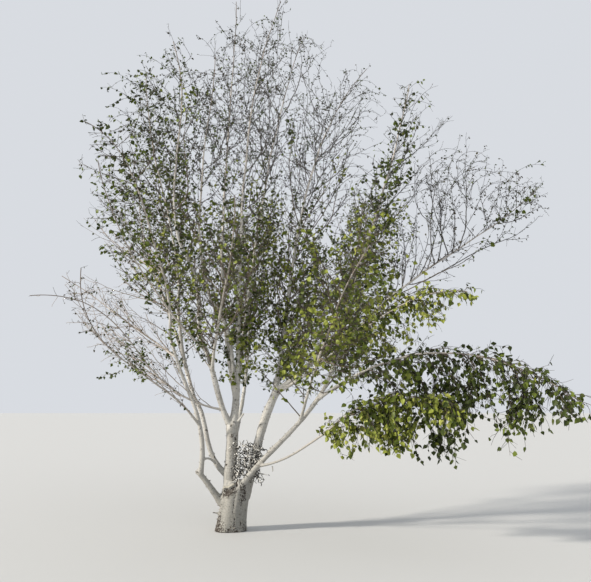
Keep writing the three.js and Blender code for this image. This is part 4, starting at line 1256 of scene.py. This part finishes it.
# stubs of pruned boughs: foot, direction, length, radius
STUBS = [
    ((-0.395, -0.10, 0.735), heading(168, 22), 0.085, 0.036),
    ((-0.17, -0.02, 0.215), heading(185, 12), 0.085, 0.012),
    ((0.555, -0.30, 0.86), heading(-60, -78), 0.085, 0.010),
    ((0.075, -0.02, 1.42), heading(-35, 48), 0.15, 0.015),
    ((0.10, 0.03, 1.93), heading(-20, 50), 0.15, 0.013),
    ((-0.33, 0.02, 0.96), heading(8, 20), 0.10, 0.012),
    ((0.47, 0.06, 1.36), heading(-150, 35), 0.05, 0.016),
    ((0.02, 0.09, 1.10), heading(100, 35), 0.07, 0.017),
]
V, Q, T3, off = [], [], [], 0


def put(v, q, t):
    global off
    V.append(v)
    Q.append(q + off)
    T3.append(t + off)
    off += len(v)


rings = trunk_rings(64, 34)
n_r, n_s = rings.shape[:2]
idx = np.arange(n_r * n_s).reshape(n_r, n_s)
q = np.stack([idx[:-1], np.roll(idx[:-1], -1, 1), np.roll(idx[1:], -1, 1), idx[1:]], -1).reshape(-1, 4)
v = np.vstack([rings.reshape(-1, 3), [[-0.006, 0, 0.0]], [[TRUNK_LEAN, 0, TRUNK_HEIGHT * 1.0]]])
a, b = n_r * n_s, n_r * n_s + 1
j = np.arange(n_s)
put(v, q, np.vstack([np.stack([np.full(n_s, a), np.roll(j, -1), j], 1), np.stack([np.full(n_s, b), (n_r - 1) * n_s + j, (n_r - 1) * n_s + np.roll(j, -1)], 1)]))

# where each limb leaves the fused part
split = {}
for name, w in ways.items():
    z = w.p[:, 2]
    up = np.flatnonzero((z > LOW) | (girth[name][0] + (girth[name][1] - girth[name][0]) * w.s / w.length < 0.0165))
    split[name] = (w.s[up[0]] / w.length) if len(up) else 1.0
    if w.p[0, 2] > LOW - 0.1 or girth[name][0] < 0.0165:
        split[name] = 0.0
centres, centre_r, centre_s, centre_limb = [], [], [], []
names = list(ways)
for li, (name, w) in enumerate(ways.items()):
    n = int(w.length / 0.012)
    s = np.linspace(0, 1, n)
    centres.append(w.at(s))
    centre_r.append(limb_radius(name, s))
    centre_s.append(s)
    centre_limb.append(np.full(n, li))
    if split[name] > 0.02:
        k = max(6, int(split[name] * w.length / 0.03))
        s = np.linspace(0, split[name], k)
        p = w.at(s)
        r = limb_radius(name, s)
        # slow swellings and knots along the stem
        r = r * (1 + 0.035 * np.sin(s * w.length * 9.0 + li * 2.1) + 0.025 * np.sin(s * w.length * 23.0 + li))
        put(*closed_tube(p, r))
# a short arched branch that bridges the two stems on the left
s = np.linspace(0, 1, 9)[:, None]
arch = np.array([-0.405, -0.11, 0.900]) * (1 - s) ** 2 + np.array([-0.300, -0.12, 0.985]) * 2 * s * (1 - s) + np.array([-0.215, -0.05, 0.860]) * s**2
put(*closed_tube(arch, np.linspace(0.015, 0.019, 9), 10))
for foot, way_, length, r in STUBS:
    foot = np.array(foot)
    s = np.linspace(0, 1, 5)[:, None]
    put(*closed_tube(foot + way_ * length * s, r * np.array([1.25, 1.1, 1.0, 1.05, 0.8]), 10))
raw = new_mesh("bark_low", np.vstack(V), [np.vstack(Q), np.vstack(T3)])
bpy.context.view_layer.objects.active = raw
raw.select_set(True)
mod = raw.modifiers.new("fuse", "REMESH")
mod.mode = "VOXEL"
mod.voxel_size = VOXEL
mod.adaptivity = 0.0
sm = raw.modifiers.new("soften", "SMOOTH")
sm.factor = 0.5
sm.iterations = 4
dg = bpy.context.evaluated_depsgraph_get()
me = bpy.data.meshes.new_from_object(raw.evaluated_get(dg))
bpy.data.objects.remove(raw)
nv = len(me.vertices)
co = np.zeros(nv * 3, np.float32)
me.vertices.foreach_get("co", co)
co = co.reshape(-1, 3).astype(float)
no = np.zeros(nv * 3, np.float32)
me.vertices.foreach_get("normal", no)
no = no.reshape(-1, 3).astype(float)
nf = len(me.polygons)
tot = np.zeros(nf, np.int32)
me.polygons.foreach_get("loop_total", tot)
li_ = np.zeros(len(me.loops), np.int32)
me.loops.foreach_get("vertex_index", li_)
assert (tot == 4).all()
low_quads = li_.reshape(-1, 4)
bpy.data.meshes.remove(me)

# place of every vertex on its limb: the straightened coordinate of the bark
C = np.vstack(centres)
CR = np.concatenate(centre_r)
CS = np.concatenate(centre_s)
CL = np.concatenate(centre_limb)
axes_u, axes_v, axes_t = [], [], []
for name, w in ways.items():
    s = CS[CL == names.index(name)]
    P = w.at(s)[None]
    T_, U_, V_ = frames_along(P)
    axes_u.append(U_[0])
    axes_v.append(V_[0])
    axes_t.append(T_[0])
AU, AV, AT = np.vstack(axes_u), np.vstack(axes_v), np.vstack(axes_t)
tree = KDTree(len(C))
for i, p in enumerate(C):
    tree.insert(p, i)
tree.balance()
lengths = np.array([ways[n].length for n in names])


def bark_place(points):
    """Straightened coordinate and limb radius for points on or near the limbs."""
    out = np.zeros((len(points), 3))
    rad = np.zeros(len(points))
    for i, p in enumerate(points):
        if p[2] < 0.50:
            cx = TRUNK_LEAN * p[2] / TRUNK_HEIGHT - 0.006
            out[i] = (p[0] - cx, p[1], p[2])
            rad[i] = TRUNK_GIRTH
            continue
        best, bi = 1e9, 0
        for _, k, d in tree.find_n(p, 5):
            e = d - CR[k]
            if e < best:
                best, bi = e, k
        d = p - C[bi]
        out[i] = (d @ AU[bi], d @ AV[bi], CS[bi] * lengths[CL[bi]] + 3.7 * CL[bi])
        rad[i] = CR[bi]
    return out, rad


low_co, low_r = bark_place(co)

# scars: rough patches at the foot, a torn ring under the central stem, brows over each branching
scar_and_crease_shade = np.zeros(nv)


def blob(centre, radius, strength, squash_z=1.0):
    d = co - np.array(centre)
    d[:, 2] /= squash_z
    return strength * np.exp(-((np.linalg.norm(d, axis=1) / radius) ** 2))


ang = np.arctan2(co[:, 1], co[:, 0] - 0.01)
foot = np.zeros(nv)
for a_, w_, h_, s_ in ((-150, 26, 0.34, 0.72), (-128, 18, 0.16, 0.60), (-98, 18, 0.10, 0.56), (-70, 16, 0.12, 0.54), (-172, 20, 0.24, 0.60), (-30, 22, 0.15, 0.55), (20, 25, 0.20, 0.5), (80, 30, 0.24, 0.58), (140, 28, 0.20, 0.55)):
    off_ = np.degrees(np.abs(np.arctan2(np.sin(ang - math.radians(a_)), np.cos(ang - math.radians(a_)))))
    foot = np.maximum(foot, s_ * np.exp(-((off_ / w_) ** 2)) * np.clip(1.25 - co[:, 2] / h_, 0, 1))
scar_and_crease_shade = np.maximum(scar_and_crease_shade, np.where(co[:, 2] < 0.4, foot, 0))
SCARS = [
    # lumps and torn places on the stems
    ((0.020, -0.10, 0.66), 0.022, 0.70, 3.0),
    ((0.055, -0.09, 0.80), 0.020, 0.70, 3.0),
    ((0.010, -0.09, 1.235), 0.035, 0.66, 0.9),
    ((0.050, -0.07, 1.20), 0.030, 0.62, 1.4),
    ((-0.02, -0.09, 1.37), 0.020, 0.62, 1.2),
    ((0.03, -0.08, 1.42), 0.020, 0.58, 1.0),
    ((-0.360, -0.12, 1.36), 0.020, 0.66, 0.9),
    ((-0.300, -0.04, 1.33), 0.020, 0.64, 1.2),
    ((-0.190, -0.04, 0.98), 0.018, 0.60, 2.0),
    ((-0.100, -0.08, 0.86), 0.018, 0.60, 2.0),
    ((0.22, -0.16, 0.72), 0.045, 0.80, 1.2),
    ((0.27, -0.15, 0.80), 0.035, 0.66, 1.2),
    ((0.31, -0.08, 0.95), 0.030, 0.60, 1.3),
    ((0.05, 0.16, 0.55), 0.080, 0.70, 0.6),
    ((0.00, 0.09, 1.05), 0.050, 0.65, 0.8),
    ((0.40, 0.08, 1.34), 0.035, 0.58, 0.7),
]
SCARS = [(tuple(co[np.argmin(np.linalg.norm(co - np.array(c), axis=1))]), r, s, z) for c, r, s, z in SCARS]
for c_, r_, s_, z_ in SCARS:
    scar_and_crease_shade = np.maximum(scar_and_crease_shade, blob(c_, r_, s_, z_))
brow_noise = np.array([noise.noise((x * 38, y * 38, z * 30)) for x, y, z in co]) * 1.6
for name, parent, at, base, tip, parts in LIMBS:
    if parent == "trunk":
        continue
    w = ways[name]
    r = float(limb_radius(parent, at, False))
    j0 = w.at(0.0)
    d0 = w.at(min(1, (r + 0.03) / w.length)) - j0
    t0_ = ways[parent].tangent(at)
    side = unit(d0 - t0_ * (d0 @ t0_))
    # surface of the parent just above the child
    c_ = j0 + side * r * 0.95 + t0_ * (base * 1.9)
    d = co - c_
    axial = d @ t0_
    lat = np.linalg.norm(d - t0_[None] * axial[:, None] - side[None] * (d @ side)[:, None], axis=1)
    depth_ = np.abs(d @ side)
    brow = np.exp(-(((axial + 0.75 * lat) / (0.010 + 0.18 * base)) ** 2)) * (lat < 0.012 + 1.5 * base) * (depth_ < 0.03 + r * 0.8)
    scar_and_crease_shade = np.maximum(scar_and_crease_shade, 0.60 * brow * (0.55 + 0.45 * brow_noise))

# the ragged wound under the central stem, and the hollow where the long bough leaves
def skirt(x):
    return 0.575 + 0.40 * (x + 0.025) + 0.008 * np.sin(x * 60.0)


skirt_z = skirt(co[:, 0])
front = co[:, 1] < -0.03
wound = np.exp(-(((co[:, 2] - skirt_z + 0.075) / 0.060) ** 4)) * np.exp(-(((co[:, 0] + 0.02) / 0.120) ** 4)) * front
hollow = np.exp(-(((co[:, 2] - 0.50) / 0.140) ** 4)) * np.exp(-(((co[:, 0] - 0.165) / 0.045) ** 4)) * front
cleft = np.exp(-(((co[:, 2] - 0.66) / 0.085) ** 4)) * np.exp(-(((co[:, 0] - 0.074) / 0.017) ** 4)) * front
scar_and_crease_shade = np.maximum(scar_and_crease_shade, np.maximum(np.maximum(0.70 * wound, 0.58 * hollow), 0.85 * cleft))

# painted shade: a fine dark line down the front, in the crease between two of the fused stems, painted in as dark cork
# through the scar attribute
crease_shade_x = 0.052 + 0.010 * np.sin(co[:, 2] * 17.0) + 0.006 * np.sin(co[:, 2] * 41.0 + 1.0)
crease_shade = np.exp(-(((co[:, 0] - crease_shade_x) / 0.0075) ** 2)) * (co[:, 1] < -0.06) * np.clip((0.50 - co[:, 2]) / 0.05, 0, 1)
scar_and_crease_shade = np.maximum(scar_and_crease_shade, 0.62 * crease_shade)
seam_2 = np.exp(-(((co[:, 0] - 0.135 - 0.008 * np.sin(co[:, 2] * 23.0)) / 0.0075) ** 2)) * (co[:, 1] < -0.05) * np.clip((0.42 - co[:, 2]) / 0.05, 0, 1)
scar_and_crease_shade = np.maximum(scar_and_crease_shade, 0.56 * seam_2)

# relief: slow lumps, fine wrinkles round the stem, cork heaped in the scars, the torn ring under the central stem
disp = np.zeros(nv)
for i in range(nv):
    x, y, z = low_co[i]
    a_ = noise.noise((x * 9, y * 9, z * 5))
    b_ = noise.noise((x * 16, y * 16, z * 42))
    c_ = noise.noise((co[i][0] * 55, co[i][1] * 55, co[i][2] * 40))
    k = min(1.0, low_r[i] / 0.08)
    disp[i] = (0.0045 * a_ + 0.0016 * b_) * k + max(0.0, scar_and_crease_shade[i] - 0.25) * (0.006 + 0.012 * c_)
rim = np.exp(-(((co[:, 2] - skirt_z + 0.006) / 0.013) ** 2)) * np.exp(-(((co[:, 0] + 0.03) / 0.10) ** 4)) * (co[:, 1] < -0.03)
scar_and_crease_shade = scar_and_crease_shade * (1 - 0.9 * rim)
groove = np.exp(-(((co[:, 2] - skirt_z + 0.052) / 0.034) ** 2)) * np.exp(-(((co[:, 0] + 0.03) / 0.085) ** 4)) * (co[:, 1] < -0.03)
disp += 0.011 * rim - 0.026 * groove - 0.007 * crease_shade - 0.005 * seam_2 - 0.012 * cleft
keep_foot = np.clip(co[:, 2] / 0.02, 0, 1)
co2 = co + no * (disp * keep_foot)[:, None]
co2[:, 2] = np.maximum(co2[:, 2], 0.0)
co2[co[:, 2] < 0.006, 2] = 0.0

# upper limbs as tubes that start inside the fused skin
UV, UQ, UC, UG, US = [], [], [], [], []
offu = nv
SIDES = 9
for li, (name, w) in enumerate(ways.items()):
    if split[name] >= 0.999:
        continue
    s_from = max(0.0, split[name] - 0.03 / w.length)
    n = max(8, int((1 - s_from) * w.length / 0.045))
    s = np.linspace(s_from, 1, n)
    P = w.at(s)
    r = limb_radius(name, s)
    wobble = np.array([[noise.noise((x * 1.7 + li * 9.1, k * 7.7, 3.3)) for k in range(3)] for x in s * w.length])
    fade = np.clip((s - s_from) * w.length / 0.4, 0, 1)[:, None]
    if first_mass.get(name, 1.0) < 1.0:
        P = P + 0.018 * wobble * fade
    r = r * (1 + 0.05 * np.sin(s * w.length * 17 + li) + 0.04 * np.sin(s * w.length * 41 + 2 * li))
    if s_from < 0.001:
        r[0] *= 1.15
    v, q = tubes(P[None], r[None], SIDES)
    _, U_, V_ = frames_along(P[None])
    d = v.reshape(n, SIDES, 3) - P[:, None, :]
    bx = (d * U_[0][:, None, :]).sum(-1)
    by = (d * V_[0][:, None, :]).sum(-1)
    bz = np.broadcast_to((s * w.length)[:, None] + 3.7 * li, bx.shape)
    UV.append(v)
    UQ.append(q + offu)
    UC.append(np.stack([bx, by, bz], -1).reshape(-1, 3))
    UG.append(np.repeat(r, SIDES))
    # dark brows where leaders and side limbs leave
    knots = np.zeros((n, SIDES))
    for nm, par, at_, b_, t_, parts_ in LIMBS:
        if par == name:
            knots += 0.48 * np.exp(-(((s * w.length - at_ * w.length - 1.5 * b_) / 0.025) ** 2))[:, None]
    US.append(knots.reshape(-1))
    offu += len(v)
low_names = [n for n in names if split[n] > 0.0]
high_names = [n for n in names if split[n] <= 0.0]
birch = bark_material("birch_bark")
bark = new_mesh("bark", co2, [low_quads], smooth=True)
high = new_mesh("bark_of_upper_limbs", np.vstack(UV), [q - nv for q in UQ], smooth=True)
for ob, place, size, torn_and_crease_shade, nodes in (
    (bark, low_co, low_r, scar_and_crease_shade, ["trunk"] + low_names),
    (high, np.vstack(UC), np.concatenate(UG), np.concatenate(US), high_names),
):
    add_attribute(ob.data, "bark_co", "FLOAT_VECTOR", place)
    add_attribute(ob.data, "girth", "FLOAT", size)
    add_attribute(ob.data, "scar_and_crease_shade", "FLOAT", torn_and_crease_shade)
    print(ob.name, 2 * len(ob.data.polygons), "triangles")
    finish_piece(ob, birch, nodes)

# the torn edge of bark that overhangs the wound: a wedge of pale bark with a ragged lip
KE = 34
ex = np.linspace(-0.122, 0.068, KE)
face_front = (no[:, 1] < -0.2) & (co[:, 1] < 0.0)
spots = np.array([co2[np.flatnonzero(face_front)[np.argmin(np.hypot(co2[face_front, 0] - x, co2[face_front, 2] - skirt(x) - 0.022))]] for x in ex])
below = np.array([co2[np.flatnonzero(face_front)[np.argmin(np.hypot(co2[face_front, 0] - x, co2[face_front, 2] - skirt(x) + 0.020))]] for x in ex])
for _ in range(6):
    spots[1:-1] = 0.25 * spots[:-2] + 0.5 * spots[1:-1] + 0.25 * spots[2:]
    below[1:-1] = 0.25 * below[:-2] + 0.5 * below[1:-1] + 0.25 * below[2:]
away_ = unit(np.stack([ex + 0.02, np.full(KE, -0.16), np.zeros(KE)], 1))
ends_ = np.clip(np.minimum(np.arange(KE), np.arange(KE)[::-1]) / 5.0, 0.15, 1)[:, None]
rag = np.array([noise.noise((x * 95, 0.5, 2.0)) for x in ex])[:, None]
outer_y = np.minimum(spots, below)[:, 1:2]
lip = np.stack([ex[:, None], outer_y, (skirt(ex))[:, None]], 1)[:, :, 0] + away_ * (0.015 + 0.006 * rag) * ends_ - UP * (0.010 + 0.007 * rag) * ends_
shoulder = 0.5 * (spots + lip) + away_ * 0.007 * ends_
inner = 0.5 * (below + lip) - away_ * 0.004 + UP * 0.006
loop = np.stack([spots - away_ * 0.006, shoulder, lip, inner, below + UP * 0.022 - away_ * 0.010], 1)
ie = np.arange(KE * 5).reshape(KE, 5)
qe = np.stack([ie[:-1], ie[1:], np.roll(ie[1:], -1, 1), np.roll(ie[:-1], -1, 1)], -1).reshape(-1, 4)
lip_piece = new_mesh("torn_bark_lip", loop.reshape(-1, 3), [qe], smooth=True)
finish_piece(lip_piece, twig_material("torn_bark", (0.37, 0.35, 0.295)))

# ------------------------------------------------------------------ curls of thin bark that peel off the stems
pool = np.flatnonzero((low_r > 0.016) & (co[:, 2] > 0.03))
pick = pool[rng.integers(0, len(pool), 420)]
P0 = co2[pick]
Nn = no[pick]
level = unit(np.cross(UP[None], Nn) + 1e-6) * np.where(rng.random(len(pick)) < 0.5, 1, -1)[:, None]
high_ = unit(np.cross(Nn, level))
long_ = (0.009 + 0.015 * rng.random(len(pick)))[:, None]
tall = (0.004 + 0.010 * rng.random(len(pick)) ** 2)[:, None]
turn = (0.4 + 1.5 * rng.random(len(pick)))[:, None]
K5 = 6
curl = []
for i in range(K5):
    f = turn * i / (K5 - 1)
    mid = P0 + Nn * 0.0008 + level * (long_ / turn) * np.sin(f) + Nn * (long_ / turn) * (1 - np.cos(f))
    h = tall * (1 - 0.5 * i / (K5 - 1))
    curl.append(np.stack([mid - high_ * h, mid + high_ * h], 1))
curl = np.stack(curl, 1).reshape(len(pick), K5 * 2, 3)
k = 2 * np.arange(K5 - 1)
one = np.stack([k, k + 2, k + 3, k + 1], 1)
quads = (one[None] + (np.arange(len(pick)) * K5 * 2)[:, None, None]).reshape(-1, 4)
peel = new_mesh("peeling_bark", curl.reshape(-1, 3), [quads], smooth=True)
print("peeling_bark", 2 * len(quads), "triangles")
finish_piece(peel, twig_material("peeling_bark", (0.30, 0.275, 0.235)))

# ------------------------------------------------------------------ tangle of dead twigs in the crotch
nT = 210
tp = np.stack([0.05 + 0.33 * rng.random(nT), -0.15 + 0.14 * rng.random(nT), 0.70 + 0.40 * rng.random(nT) ** 1.2], 1)
tp[:, 0] += 0.10 * (tp[:, 2] - 0.74)
tt = unit(rng.normal(0, 1, (nT, 3)) + np.array([0.0, -0.2, 0.1]))
TP = grow(tp, tt, 0.06 + 0.13 * rng.random(nT), 12, 0.4 + 0.6 * rng.random(nT), rng.normal(-0.3, 0.6, nT), 6.5, 4.0)
hang0 = np.array([[0.365, -0.18, 0.80], [0.235, -0.17, 0.76], [0.10, -0.14, 0.80], [0.085, -0.13, 0.92], [0.33, -0.17, 0.82], [0.045, -0.11, 1.16]])
hang0 = np.repeat(hang0, 3, axis=0) + rng.normal(0, 0.010, (18, 3))
HP = grow(hang0, unit(np.array([0.15, -0.2, -1.0]) + rng.normal(0, 0.25, (18, 3))), np.repeat([0.30, 0.22, 0.26, 0.24, 0.2, 0.16], 3) * (0.6 + 0.4 * rng.random(18)), 12, np.full(18, 0.15), np.full(18, -1.0), 3.2, 0.8)
TP = np.vstack([TP, HP])
bead = 1 + 0.60 * (np.arange(13) % 2)
TR = 0.0062 * bead[None, :] * (0.6 + 0.7 * rng.random(len(TP)))[:, None] * (1 - 0.4 * np.linspace(0, 1, 13))[None, :]


def beads_material(name):
    m, nt, bsdf = nodes_of(name)
    geo = node(nt, "ShaderNodeNewGeometry")
    n = noise_of(nt, geo.outputs["Position"], 50.0, 2.0)
    col = mix(nt, ramp(nt, n, 0.51, 0.54), (0.010, 0.009, 0.008), (0.80, 0.78, 0.73))
    nt.links.new(col, bsdf.inputs["Base Color"])
    bsdf.inputs["Roughness"].default_value = 0.85
    bump = node(nt, "ShaderNodeBump")
    bump.inputs["Strength"].default_value = 0.8
    bump.inputs["Distance"].default_value = 0.004
    nt.links.new(n, bump.inputs["Height"])
    nt.links.new(bump.outputs[0], bsdf.inputs["Normal"])
    return m


wood_piece("dead_twig_tangle", [(TP, TR, 5, None)], beads_material("dead_bark"))

# ------------------------------------------------------------------ stage, light, camera
bpy.ops.mesh.primitive_plane_add(size=400, location=(0, 0, -0.002))
floor = bpy.context.object
floor.name = "stage_floor"
fm, nt, bsdf = nodes_of("stage_floor")
bsdf.inputs["Base Color"].default_value = (0.52, 0.52, 0.51, 1)
bsdf.inputs["Roughness"].default_value = 0.9
floor.data.materials.append(fm)

world = bpy.data.worlds.new("studio")
bpy.context.scene.world = world
world.use_nodes = True
bg = world.node_tree.nodes["Background"]
bg.inputs[0].default_value = (0.82, 0.85, 0.90, 1)
bg.inputs[1].default_value = 0.84


def sun(name, direction, energy, angle, colour):
    l = bpy.data.lights.new(name, "SUN")
    l.energy = energy
    l.angle = math.radians(angle)
    l.color = colour
    o = bpy.data.objects.new(name, l)
    bpy.context.scene.collection.objects.link(o)
    o.rotation_euler = Vector(direction).to_track_quat("-Z", "Y").to_euler()
    return o


sun("key", (0.88, 0.30, -0.42), 4.8, 5, (1.0, 0.94, 0.84))
sun("fill", (-0.5, 0.8, -0.5), 0.25, 40, (0.92, 0.96, 1.0))

cam_data = bpy.data.cameras.new("camera")
cam_data.sensor_width = 36.0
cam_data.lens = 650.0 / 591.0 * 36.0
cam_data.clip_end = 1000
cam = bpy.data.objects.new("camera", cam_data)
bpy.context.scene.collection.objects.link(cam)
cam.location = (0.859, -9.085, 1.6)
cam.rotation_euler = (math.radians(90 + 10.204), 0, 0)
bpy.context.scene.camera = cam
bpy.context.scene.view_settings.view_transform = "Standard"

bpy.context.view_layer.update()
